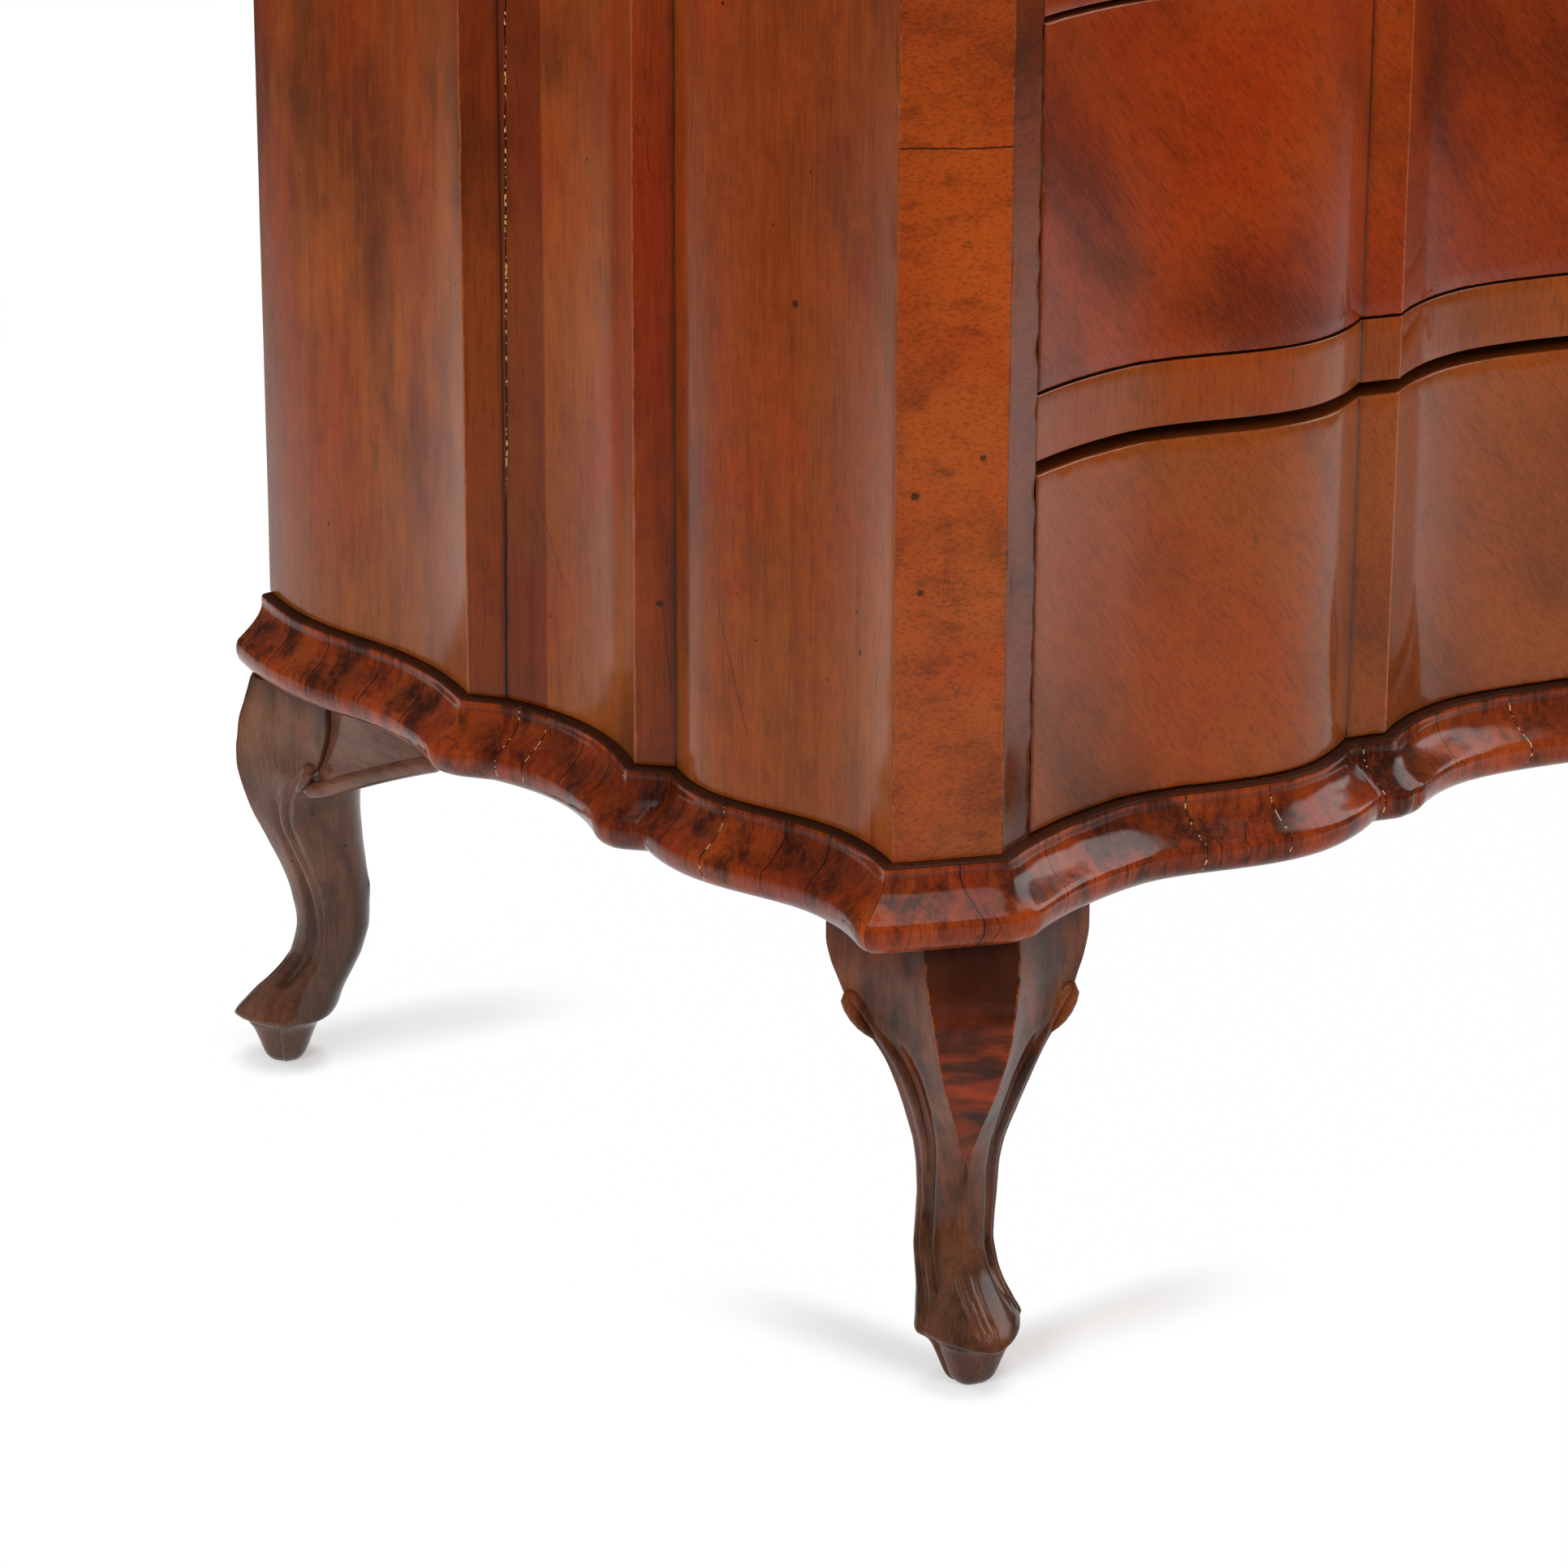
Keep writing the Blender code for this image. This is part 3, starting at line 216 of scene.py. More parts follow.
@dataclass(frozen=True)
class ChestPlan:
    """Sizes of the case that all its pieces share.

    Attributes:
        half_width: Half the distance between the corner arrises.
        corner_y: Depth at which the corner arrises stand.
        depth: Distance from them to the back edge.
        opening_x: Half the width of the openings for the drawers.
        inside_x: Half the width between the side panels at the back.
        base_top: Height of the base moulding's top, on which the case stands.
        leg_height: Height of the legs with the gap above them.
        case_top: Height of the case's upper edge.
        arrises: Distances of the side's arrises from the corner.
        valleys: Distances of the side's valleys from the corner.
        front_arrises: Distances of the front's arrises from the corner.
        front_valley: Distance of the front's valley from the corner.
        front: Half the front from the corner to the middle.
        side: The side from the corner to the back.
    """

    half_width: float = 0.530
    corner_y: float = -0.2113
    depth: float = 0.486
    opening_x: float = 0.4626
    inside_x: float = 0.502
    base_top: float = 0.250
    leg_height: float = 0.2135
    case_top: float = 0.820
    arrises: tuple[float, ...] = (0.0, 0.1688, 0.2950)
    valleys: tuple[float, ...] = (0.1536, 0.2788)
    front_arrises: tuple[float, ...] = (0.0, 0.0439, 0.2850)
    front_valley: float = 0.2657
    front: tuple[Run, ...] = (
        Run(0.0439, -0.0222, Shape.LINE, True),
        Run(0.0841, -0.0056, Shape.FLARE),
        Run(0.092, -0.0283, Shape.WAVE),
        Run(0.0457, -0.0143, Shape.ROLL, True),
        Run(0.0193, -0.021, Shape.LINE, True),
        Run(0.056, -0.0067, Shape.FLARE),
        Run(0.189, -0.051, Shape.CREST),
    )
    side: tuple[Run, ...] = (
        Run(0.046, 0.009, Shape.FLARE),
        Run(0.073, -0.004, Shape.WAVE),
        Run(0.0346, 0.0047, Shape.ROLL, True),
        Run(0.0152, -0.0074, Shape.LINE, True),
        Run(0.069, 0.0101, Shape.FLARE),
        Run(0.041, 0.0033, Shape.ROLL, True),
        Run(0.0162, -0.0074, Shape.LINE, True),
        Run(0.070, 0.0055, Shape.FLARE),
        Run(0.063, 0.0011, Shape.WAVE),
        Run(0.058, 0.0114, Shape.ROLL),
    )

    @property
    def back_y(self) -> float:
        """Depth of the back face."""
        return self.corner_y + self.depth

    @staticmethod
    def offset(runs: Sequence[Run], place: float) -> float:
        """Offset of a plan line at a distance from its corner arris.

        Args:
            runs: The line's runs from the corner.
            place: Distance from the corner arris.

        Returns:
            The offset.
        """
        done = 0.0
        start = 0.0
        for run in runs:
            if place <= done + run.length + 1e-9:
                share = np.float64(max(0.0, (place - done) / run.length))
                return float(run.shape.at(start, run.end, share))
            done += run.length
            start = run.end
        return start

    def front_y(self, x: float) -> float:
        """Depth of the front at a place along its width."""
        return self.corner_y + self.offset(self.front, self.half_width - abs(x))

    def stretches(self, step: float) -> list[Stretch]:
        """The whole outline from the back left edge by the front to the back right edge.

        Args:
            step: Longest distance between neighbouring points.

        Returns:
            Smooth stretches with a crease between each two.
        """
        side = [self._placed(self.half_width - p[:, 1], self.corner_y + p[:, 0])
                for p in self._walk(self.side, step)]
        front = [self._placed(self.half_width - p[:, 0], self.corner_y + p[:, 1])
                 for p in self._walk(self.front, step)]
        centre, *right = [Stretch(s.points[::-1], s.normals[::-1]) for s in reversed(front)] + side
        other = centre.mirrored()
        joined = Stretch(
            np.vstack([other.points[:-1], centre.points]), np.vstack([other.normals[:-1], centre.normals])
        )
        return [s.mirrored() for s in reversed(right)] + [joined] + right

    @staticmethod
    def _walk(runs: Sequence[Run], step: float) -> list[np.ndarray]:
        """Points (distance, offset) of a plan line, split at its creases.

        Args:
            runs: The line's runs from the corner.
            step: Longest distance between neighbouring points.

        Returns:
            The smooth parts, one array each.
        """
        parts: list[np.ndarray] = []
        rows = [(0.0, 0.0)]
        done = 0.0
        start = 0.0
        for run in runs:
            count = max(2, math.ceil(run.length / step))
            share = np.arange(1, count + 1) / count
            rows += list(zip(done + run.length * share, run.shape.at(start, run.end, share)))
            done += run.length
            start = run.end
            if run.crease:
                parts.append(np.array(rows))
                rows = [rows[-1]]
        parts.append(np.array(rows))
        return parts

    @staticmethod
    def _placed(x: np.ndarray, y: np.ndarray) -> Stretch:
        """A stretch through places in the chest's frame, with outward normals."""
        points = np.column_stack([x, y])
        return Stretch(points, outward(points))

    def worn(self, reach: float) -> Mark:
        """A mark that is 1 on the arrises and falls to 0 at a distance from them."""
        return lambda co: fading(self._near(co, self.arrises, self.front_arrises), reach)

    def valley_shade_and_grime(self, co: np.ndarray) -> np.ndarray:
        """Painted shade and dirt in the valleys of the side panels and of the front."""
        return fading(self._near(co, self.valleys, (self.front_valley,)), 0.0012)

    def _near(self, co: np.ndarray, side: Sequence[float], front: Sequence[float]) -> np.ndarray:
        """Distance to the nearest of some upright lines.

        Args:
            co: Points, one row each.
            side: Distances of the side's lines from the corner.
            front: Distances of the front's lines from the corner.

        Returns:
            The distance at each point.
        """
        to_side = np.minimum.reduce([np.abs(co[:, 1] - self.corner_y - a) for a in side])
        to_front = np.minimum.reduce([np.abs(self.half_width - np.abs(co[:, 0]) - a) for a in front])
        return np.where(co[:, 1] > self.corner_y + 0.004, to_side, to_front)


PLAN = ChestPlan()


def corner_line(stretches: Sequence[Stretch], radius: float) -> np.ndarray:
    """One line through several stretches with its creases softened.

    Args:
        stretches: Neighbouring stretches in order.
        radius: Distance from a crease at which the softening starts.

    Returns:
        The points, one row each.
    """
    rows = [stretches[0].points[0]]
    for i, part in enumerate(stretches):
        inner = part.points[1:-1]
        if i > 0:
            inner = inner[np.linalg.norm(inner - part.points[0], axis=1) > radius * 1.2]
        if i < len(stretches) - 1:
            inner = inner[np.linalg.norm(inner - part.points[-1], axis=1) > radius * 1.2]
        rows += list(inner)
        if i == len(stretches) - 1:
            rows.append(part.points[-1])
            break
        corner = part.points[-1]
        back = unit(part.points[-2] - corner)
        ahead = unit(stretches[i + 1].points[1] - corner)
        rows += list(bow(corner + back * radius, corner, corner + ahead * radius, np.linspace(0.0, 1.0, 5)))
    return np.array(rows)


# --- Shader graphs ---


class Wire:
    """An output socket on which Python's operators add Math nodes."""

    def __init__(self, graph: "Graph", socket: bpy.types.NodeSocket | None) -> None:
        """Keep the graph and the socket."""
        self.graph = graph
        self.socket = socket

    def _math(self, operation: str, *values: Union["Wire", float]) -> "Wire":
        """A Math node on values."""
        return self.graph.add("ShaderNodeMath", {"operation": operation}, dict(enumerate(values)))

    def __add__(self, other: Union["Wire", float]) -> "Wire":
        """Sum."""
        return self._math("ADD", self, other)

    __radd__ = __add__

    def __sub__(self, other: Union["Wire", float]) -> "Wire":
        """Difference."""
        return self._math("SUBTRACT", self, other)

    def __rsub__(self, other: float) -> "Wire":
        """Difference from a number."""
        return self._math("SUBTRACT", other, self)

    def __mul__(self, other: Union["Wire", float]) -> "Wire":
        """Product."""
        return self._math("MULTIPLY", self, other)

    __rmul__ = __mul__

    def __truediv__(self, other: Union["Wire", float]) -> "Wire":
        """Quotient."""
        return self._math("DIVIDE", self, other)

    def __abs__(self) -> "Wire":
        """Size without its sign."""
        return self._math("ABSOLUTE", self)

    def most(self, other: Union["Wire", float]) -> "Wire":
        """The larger of two values."""
        return self._math("MAXIMUM", self, other)

    def wrapped(self, period: float) -> "Wire":
        """The value folded into one period."""
        return self._math("FLOORED_MODULO", self, period)

    def step(self, low: float, high: float) -> "Wire":
        """0 below one value, 1 above another, smooth between them; falls where low is above high.

        Args:
            low: Value at which it is 0.
            high: Value at which it is 1.

        Returns:
            The new value.
        """
        sockets = {"Value": self, "From Min": min(low, high), "From Max": max(low, high)}
        if low > high:
            sockets.update({"To Min": 1.0, "To Max": 0.0})
        return self.graph.add("ShaderNodeMapRange", {"interpolation_type": "SMOOTHSTEP"}, sockets)


Value = Union[Wire, float, Sequence[float]]


class Graph:
    """A node tree that is written as expressions."""

    def __init__(self, tree: bpy.types.NodeTree) -> None:
        """Take over a node tree and empty it."""
        self.tree = tree
        tree.nodes.clear()

    def add(self, kind: str, settings: dict | None = None, sockets: dict | None = None, output: int | str = 0) -> Wire:
        """Add a node.

        Args:
            kind: Node type.
            settings: Its properties, which are set first.
            sockets: Values or links of its inputs, by name or number.
            output: Which output to hand back.

        Returns:
            The wrapped output socket.
        """
        node = self.tree.nodes.new(kind)
        for key, value in (settings or {}).items():
            setattr(node, key, value)
        for key, value in (sockets or {}).items():
            self.feed(self._find(node.inputs, key), value)
        return Wire(self, self._find(node.outputs, output) if node.outputs else None)

    def feed(self, socket: bpy.types.NodeSocket, value: Value) -> None:
        """Link a wire to an input, or set its value.

        Args:
            socket: The input.
            value: A wire, a number, or the parts of a vector or colour.
        """
        if isinstance(value, Wire):
            self.tree.links.new(value.socket, socket)
        elif isinstance(value, (int, float)):
            socket.default_value = value
        else:
            sized = len(socket.default_value)
            socket.default_value = (*value, 1.0)[:sized] if len(value) < sized else tuple(value)

    @staticmethod
    def _find(sockets: Sequence[bpy.types.NodeSocket], key: int | str) -> bpy.types.NodeSocket:
        """A socket by its number, or by its name among those in use.

        Args:
            sockets: A node's sockets.
            key: Number or name.

        Returns:
            The socket.
        """
        if isinstance(key, int):
            return sockets[key]
        found = [s for s in sockets if s.name == key and s.enabled]
        if not found:
            raise KeyError(f"no socket {key!r}")
        return found[0]

    def place(self) -> Wire:
        """Place in the object's own space, in metres."""
        return self.add("ShaderNodeTexCoord", output="Object")

    def mark(self, name: str) -> Wire:
        """A value kept on the mesh."""
        return self.add("ShaderNodeAttribute", {"attribute_name": name}, output="Fac")

    def axis(self, vector: Wire, number: int) -> Wire:
        """One part of a vector."""
        return self.add("ShaderNodeSeparateXYZ", None, {0: vector}, output=number)

    def turned(self, vector: Wire, shift: Sequence[float], turn: Sequence[float]) -> Wire:
        """A vector turned by degrees and then moved.

        Args:
            vector: The vector.
            shift: How far it is moved.
            turn: How far it is turned about each axis.

        Returns:
            The new vector.
        """
        return self.add("ShaderNodeMapping", {"vector_type": "POINT"}, {
            "Vector": vector, "Location": shift, "Rotation": [math.radians(a) for a in turn],
        })

    def vector(self, operation: str, first: Value, second: Value | None = None, output: str = "Vector") -> Wire:
        """A Vector Math node on one or two vectors."""
        sockets = {0: first} if second is None else {0: first, 1: second}
        return self.add("ShaderNodeVectorMath", {"operation": operation}, sockets, output)

    def swayed(self, vector: Wire, push: Wire) -> Wire:
        """A vector pushed across the grain by a value."""
        return self.vector("ADD", vector, self.add("ShaderNodeCombineXYZ", None, {0: push, 1: push}))

    def noise(self, vector: Wire, across: float, along: float, detail: float = 2.0, rough: float = 0.5,
              twist: float = 0.0) -> Wire:
        """Soft noise from 0 to 1.

        Args:
            vector: Place.
            across: Waves per metre across the grain.
            along: Waves per metre along it.
            detail: How many finer layers it has.
            rough: How plain these are.
            twist: How far it is distorted.

        Returns:
            The noise.
        """
        return self.add("ShaderNodeTexNoise", {"noise_dimensions": "3D"}, {
            "Vector": self.vector("MULTIPLY", vector, (across, across, along)), "Scale": 1.0, "Detail": detail,
            "Roughness": rough, "Distortion": twist,
        }, output="Fac")

    def dots(self, vector: Wire, waves: float, size: float) -> Wire:
        """1 inside round dots of a size strewn at random, one to a cell.

        Args:
            vector: Place.
            waves: Cells per metre.
            size: Radius of a dot as a share of a cell.

        Returns:
            The dots.
        """
        cells = {"Vector": self.vector("MULTIPLY", vector, (waves, waves, waves)), "Scale": 1.0}
        near = self.add("ShaderNodeTexVoronoi", {"feature": "F1"}, cells, output="Distance")
        return near.step(size, size * 0.6)

    def mix(self, share: Value, first: Value, second: Value, blend: str = "MIX") -> Wire:
        """Blend of two colours."""
        settings = {"data_type": "RGBA", "blend_type": blend, "clamp_factor": True}
        return self.add("ShaderNodeMix", settings, {"Factor": share, "A": first, "B": second}, output="Result")

    def bump(self, height: Wire, depth: float, strength: float = 1.0) -> Wire:
        """A normal bent by a height in shares of a depth."""
        return self.add("ShaderNodeBump", None, {"Height": height, "Distance": depth, "Strength": strength})


class Grain(Enum):
    """The way in which a piece's wood grain runs, as a turn that brings it onto the Z axis."""

    UPRIGHT = (0.0, 0.0, 0.0)
    ALONG = (0.0, 90.0, 0.0)
    DEEP = (90.0, 0.0, 0.0)
    CANT_LEFT = (0.0, 90.0, -27.0)
    CANT_RIGHT = (0.0, 90.0, 27.0)
    SLANT = (0.0, 38.0, 0.0)


@dataclass(frozen=True)
class Crack:
    """A crack, joint or scratch that runs over a surface.

    Attributes:
        start: Its one end as (place along the piece, height).
        stop: Its other end.
        width: Half its width.
        strength: How plain it is.
        flecks: Whether pale filler shows in it here and there.
        level: Whether it runs along the piece and not up it.
        colour: Its colour.
    """

    start: tuple[float, float]
    stop: tuple[float, float]
    width: float = 0.0005
    strength: float = 0.85
    flecks: bool = False
    level: bool = False
    colour: Rgb = srgb(30, 14, 8)

    def across(self, end: tuple[float, float]) -> tuple[float, float]:
        """One end as (place across the crack's run, place along it)."""
        return (end[1], end[0]) if self.level else end


@dataclass(frozen=True)
class Age:
    """Marks of age, and strips of painted shade, at known places on a piece.

    Attributes:
        axis: Axis along the piece, 0 for X and 1 for Y.
        cracks: Its cracks, joints and scratches.
        spots: Its dark spots as (place, height, radius).
        bands: Strips of another colour, used as painted shade, as (from, to, colour, share).
    """

    axis: int
    cracks: tuple[Crack, ...] = ()
    spots: tuple[tuple[float, float, float], ...] = ()
    bands: tuple[tuple[float, float, Rgb, float], ...] = ()


HOLE_DARK = srgb(20, 10, 7)
CRACKLE_DARK = srgb(26, 11, 6)
FACET_DARK = srgb(50, 19, 8)
# Colour of painted shade in creases, gaps and hollows, with some dirt in the valleys.
SHADE_AND_GRIME_DARK = srgb(22, 10, 6)
SPOT_DARK = srgb(34, 20, 14)
STILE_TINT = srgb(172, 176, 190)
PALE_FILLER = srgb(214, 178, 118)


@dataclass(frozen=True)
class WoodFinish:
    """A varnished or raw wood. Patterns are given in waves per metre across and along the grain.

    Attributes:
        light: Colour of its open parts.
        middle: Colour of most of it.
        red: Colour of its warm zones.
        dark: Colour of its stains.
        edge: Colour of its worn edges.
        zone: Waves of its light and warm zones.
        stain: Waves of its dark stains.
        stain_share: Noise values between which the stains come in.
        stain_depth: How plain the stains are.
        cloud: How plain its broad dark clouds are.
        mottle: How plain its fine mottling is.
        streak: Waves of its streaks along the grain.
        streak_depth: How plain the streaks are.
        fibre: Waves of its fibres.
        fibre_depth: How plain the fibres are.
        grit: How plain its finest specks are.
        pores: How plain its pores are.
        holes: How dark its wormholes are.
        worms: Noise value above which wormholes stand; lower means more of them.
        figure: How plain its growth rings are.
        crackle: How dark the fine cracks in its varnish are.
        rough: Roughness at its smoothest and its roughest.
        coat: Weight of its varnish.
        coat_rough: Roughness of its varnish.
        specular: Specular level of the wood below the varnish.
        lumps: How uneven a hand-cut surface is.
        dust: Colour of the dust that lies on it.
        flame: Colour of a leg's bright facet.
        low: Colour lower down.
        low_reach: Heights between which it comes in.
        low_share: How far it comes in.
    """

    light: Rgb
    middle: Rgb
    red: Rgb
    dark: Rgb
    edge: Rgb = srgb(176, 104, 52)
    zone: tuple[float, float] = (7.0, 3.0)
    stain: tuple[float, float] = (24.0, 12.0)
    stain_share: tuple[float, float] = (0.52, 0.78)
    stain_depth: float = 0.45
    cloud: float = 0.4
    mottle: float = 0.24
    streak: tuple[float, float] = (130.0, 5.0)
    streak_depth: float = 0.3
    fibre: tuple[float, float] = (900.0, 40.0)
    fibre_depth: float = 0.16
    grit: float = 0.0
    pores: float = 0.2
    holes: float = 0.0
    worms: float = 0.5
    figure: float = 0.0
    crackle: float = 0.0
    rough: tuple[float, float] = (0.36, 0.5)
    coat: float = 0.6
    coat_rough: float = 0.12
    specular: float = 0.06
    lumps: float = 0.0
    dust: Rgb = srgb(104, 92, 70)
    flame: Rgb | None = None
    low: Rgb = srgb(122, 66, 24)
    low_reach: tuple[float, float] = (0.56, 0.32)
    low_share: float = 0.0

    def material(self, name: str, grain: Grain, seed: int, age: Age | None = None) -> bpy.types.Material:
        """Build the material.

        Args:
            name: Its name.
            grain: The way its grain runs.
            seed: Which part of the pattern it shows.
            age: Marks at known places.

        Returns:
            The material.
        """
        material = bpy.data.materials.new(name)
        material.use_nodes = True
        g = Graph(material.node_tree)
        shift = [((seed * k) % 17) * 0.31 for k in (3, 5, 7)]
        p = g.turned(g.place(), shift, grain.value)
        p = g.swayed(p, (g.noise(p, 9.0, 3.5) - 0.5) * 0.010)
        colour = self._figure(g, p)
        dirt: Wire | float = 0.0
        if self.holes:
            hole = g.dots(p, 60.0, 0.065)
            hole = hole * g.noise(p, 12.0, 12.0, 1.0).step(self.worms, self.worms + 0.1)
            colour = g.mix(hole * self.holes, colour, HOLE_DARK)
            dirt = hole
        if self.crackle:
            line = abs(g.noise(p, 34.0, 2.2, 3.0, 0.6) - 0.5).step(0.006, 0.0015)
            line = line * g.noise(p, 11.0, 5.0, 1.0).step(0.54, 0.64)
            colour = g.mix(line * self.crackle, colour, CRACKLE_DARK)
            dirt = line.most(dirt)
        if self.flame is not None:
            flames = g.noise(p, 30.0, 84.0, 4.0, 0.55, 0.6)
            shown = g.mark("facet")
            colour = g.mix(shown * 0.8, colour, FACET_DARK)
            shown = shown * g.axis(g.place(), 2).step(0.196, 0.150)
            colour = g.mix(shown * flames.step(0.34, 0.66) * 0.9, colour, self.flame)
        if age is not None:
            colour, dirt = self._aged(g, colour, dirt, age)
        chip = g.noise(p, 320.0, 130.0, 3.0, 0.7)
        worn = (g.mark("worn") + (chip - 0.5) * 1.1).step(0.66, 0.9)
        colour = g.mix(worn * 0.85, colour, self.edge)
        dusty = (g.mark("dust") + (chip - 0.5) * 0.5).step(0.3, 0.75)
        colour = g.mix(dusty * 0.9, colour, self.dust)
        # Painted shade: creases, gaps, hollows and faces hidden between parts are darkened, with some dirt in the
        # valleys.
        colour = g.mix(g.mark("grime") * 0.9, colour, SHADE_AND_GRIME_DARK)
        colour = g.mix(g.mark("stile") * 0.85, colour, STILE_TINT, "MULTIPLY")
        patches = g.noise(p, 30.0, 18.0, 3.0)
        fibres = g.noise(p, *self.fibre, 2.0)
        height = fibres * 0.4 + patches * 0.5 - dirt * 1.8
        if self.lumps:
            height = height + g.noise(p, 110.0, 80.0, 4.0, 0.7) * self.lumps
            height = height + g.noise(p, 330.0, 260.0, 3.0, 0.6) * self.lumps * 0.35
        shader = g.add("ShaderNodeBsdfPrincipled", None, {
            "Base Color": colour,
            "Roughness": self.rough[0] + (self.rough[1] - self.rough[0]) * patches + dusty * 0.3,
            "Normal": g.bump(height, 0.0003, 0.5),
            "Coat Weight": self.coat * (1.0 - dusty * 0.9), "Coat Roughness": self.coat_rough,
            "Specular IOR Level": self.specular,
        }, output="BSDF")
        g.add("ShaderNodeOutputMaterial", None, {"Surface": shader})
        return material

    def _figure(self, g: Graph, p: Wire) -> Wire:
        """Draw the wood without its marks.

        Args:
            g: The material's graph.
            p: Place in the grain's own frame.

        Returns:
            Its colour.
        """
        zone = g.noise(p, *self.zone, 2.0, 0.5)
        warm = g.noise(p, self.zone[0] * 2.1, self.zone[1] * 1.6, 3.0, 0.55)
        cloud = g.noise(p, self.zone[0] * 1.3, self.zone[1], 3.0, 0.6, 0.4)
        stain = g.noise(p, *self.stain, 4.0, 0.6)
        streak = g.noise(p, *self.streak, 4.0, 0.6)
        mottle = g.noise(p, 110.0, 70.0, 4.0, 0.65)
        fibre = g.noise(p, *self.fibre, 2.0, 0.6)
        colour = g.mix(zone.step(0.36, 0.64), self.middle, self.light)
        colour = g.mix(warm.step(0.44, 0.68) * 0.8, colour, self.red)
        if self.low_share:
            patch = g.noise(g.place(), 9.0, 14.0, 3.0, 0.6)
            lower = g.axis(g.place(), 2).step(*self.low_reach) * patch.step(0.25, 0.6)
            colour = g.mix(lower * self.low_share, colour, self.low)
        for pattern, low, high, share, tone in (
            (cloud, 0.5, 0.76, self.cloud, self.dark),
            (stain, *self.stain_share, self.stain_depth, self.dark),
            (streak, 0.5, 0.72, self.streak_depth * 1.6, self.dark),
            (streak, 0.5, 0.3, self.streak_depth, self.light),
            (mottle, 0.5, 0.74, self.mottle * 1.5, self.dark),
            (mottle, 0.48, 0.3, self.mottle, self.light),
            (fibre, 0.48, 0.7, self.fibre_depth * 1.6, self.dark),
            (fibre, 0.5, 0.32, self.fibre_depth, self.light),
        ):
            colour = g.mix(pattern.step(low, high) * share, colour, tone)
        if self.figure:
            rings = g.noise(p, 16.0, 2.4, 1.0, 0.4)
            colour = g.mix((rings * 9.0).wrapped(1.0).step(0.6, 0.98) * self.figure, colour, self.dark)
        if self.grit:
            grit = g.noise(p, 420.0, 300.0, 3.0, 0.7)
            colour = g.mix(grit.step(0.5, 0.72) * self.grit, colour, self.dark)
            colour = g.mix(grit.step(0.5, 0.3) * self.grit * 0.6, colour, self.light)
        if self.pores:
            pore = g.noise(p, 1500.0, 90.0, 1.0).step(0.64, 0.74)
            colour = g.mix(pore * self.pores, colour, self.dark)
        return colour

    @staticmethod
    def _aged(g: Graph, colour: Wire, dirt: Wire | float, age: Age) -> tuple[Wire, Wire]:
        """Draw the marks of age and the strips of painted shade over a colour.

        Args:
            g: The material's graph.
            colour: Colour so far.
            dirt: Depth of dirt so far.
            age: The marks.

        Returns:
            The new colour and depth of dirt.
        """
        place = g.place()
        along, up = g.axis(place, age.axis), g.axis(place, 2)
        wobble = (g.noise(place, 70.0, 70.0, 3.0, 0.7) - 0.5) * 0.0022
        fleck = g.noise(place, 420.0, 420.0, 1.0).step(0.54, 0.6)
        # Painted shade: strips that are multiplied darker.
        for start, stop, tone, share in age.bands:
            inside = along.step(start - 0.001, start + 0.001) * along.step(stop + 0.001, stop - 0.001)
            colour = g.mix(inside * share, colour, tone, "MULTIPLY")
        for crack in age.cracks:
            run, rise = (up, along) if crack.level else (along, up)
            start, stop = crack.across(crack.start), crack.across(crack.stop)
            share = (rise - start[1]) / (stop[1] - start[1])
            middle = share * (stop[0] - start[0]) + start[0]
            line = abs(run + wobble - middle).step(crack.width, crack.width * 0.4)
            line = line * share.step(-0.01, 0.04) * share.step(1.01, 0.96) * crack.strength
            tone = g.mix(fleck, crack.colour, PALE_FILLER) if crack.flecks else crack.colour
            colour = g.mix(line, colour, tone)
            dirt = line.most(dirt)
        for across, height, radius in age.spots:
            reach = (along - across) * (along - across) + (up - height) * (up - height)
            colour = g.mix(reach.step(radius ** 2, radius ** 2 * 0.2) * 0.8, colour, SPOT_DARK)
        return colour, dirt


@dataclass(frozen=True)
class MetalFinish:
    """An aged metal.

    Attributes:
        bright: Colour where it is rubbed.
        dull: Colour where it has tarnished.
        rough: Roughness where it is rubbed and where it has tarnished.
    """

    bright: Rgb
    dull: Rgb
    rough: tuple[float, float] = (0.3, 0.6)

    def material(self, name: str) -> bpy.types.Material:
        """Build the material under a name.

        Args:
            name: Its name.

        Returns:
            The material.
        """
        material = bpy.data.materials.new(name)
        material.use_nodes = True
        g = Graph(material.node_tree)
        p = g.place()
        spots = g.noise(p, 160.0, 160.0, 5.0, 0.65)
        fine = g.noise(p, 900.0, 900.0, 3.0, 0.6)
        tarnish = (spots * 0.7 + fine * 0.3).step(0.4, 0.62)
        shader = g.add("ShaderNodeBsdfPrincipled", None, {
            "Base Color": g.mix(tarnish, self.bright, self.dull),
            "Metallic": 1.0 - tarnish * 0.35,
            "Roughness": self.rough[0] + tarnish * (self.rough[1] - self.rough[0]),
            "Normal": g.bump(fine + spots, 0.0001, 0.6),
        }, output="BSDF")
        g.add("ShaderNodeOutputMaterial", None, {"Surface": shader})
        return material


# --- Meshes ---


def ruffle(points: np.ndarray, scale: float, seed: float = 0.0) -> np.ndarray:
    """Soft noise between -1 and 1 at points.

    Args:
        points: Places, one row each.
        scale: Waves per metre.
        seed: Which part of the noise is used.

    Returns:
        A value for each point.
    """
    shift = Vector((seed * 3.7, seed * 1.3, seed * 2.1))
    return np.array([noise.noise(Vector(p) * scale + shift) for p in points])


def sheet_faces(rows: int, columns: int, first: int = 0, closed: bool = False) -> list[tuple[int, ...]]:
    """Quads over a grid of points.

    Args:
        rows: Number of rows.
        columns: Points in a row.
        first: Number of the first point.
        closed: Whether each row is a loop.

    Returns:
        Faces as point numbers.
    """
    faces = []
    for r in range(rows - 1):
        low = first + r * columns
        high = low + columns
        for c in range(columns if closed else columns - 1):
            d = (c + 1) % columns
            faces.append((low + c, low + d, high + d, high + c))
    return faces


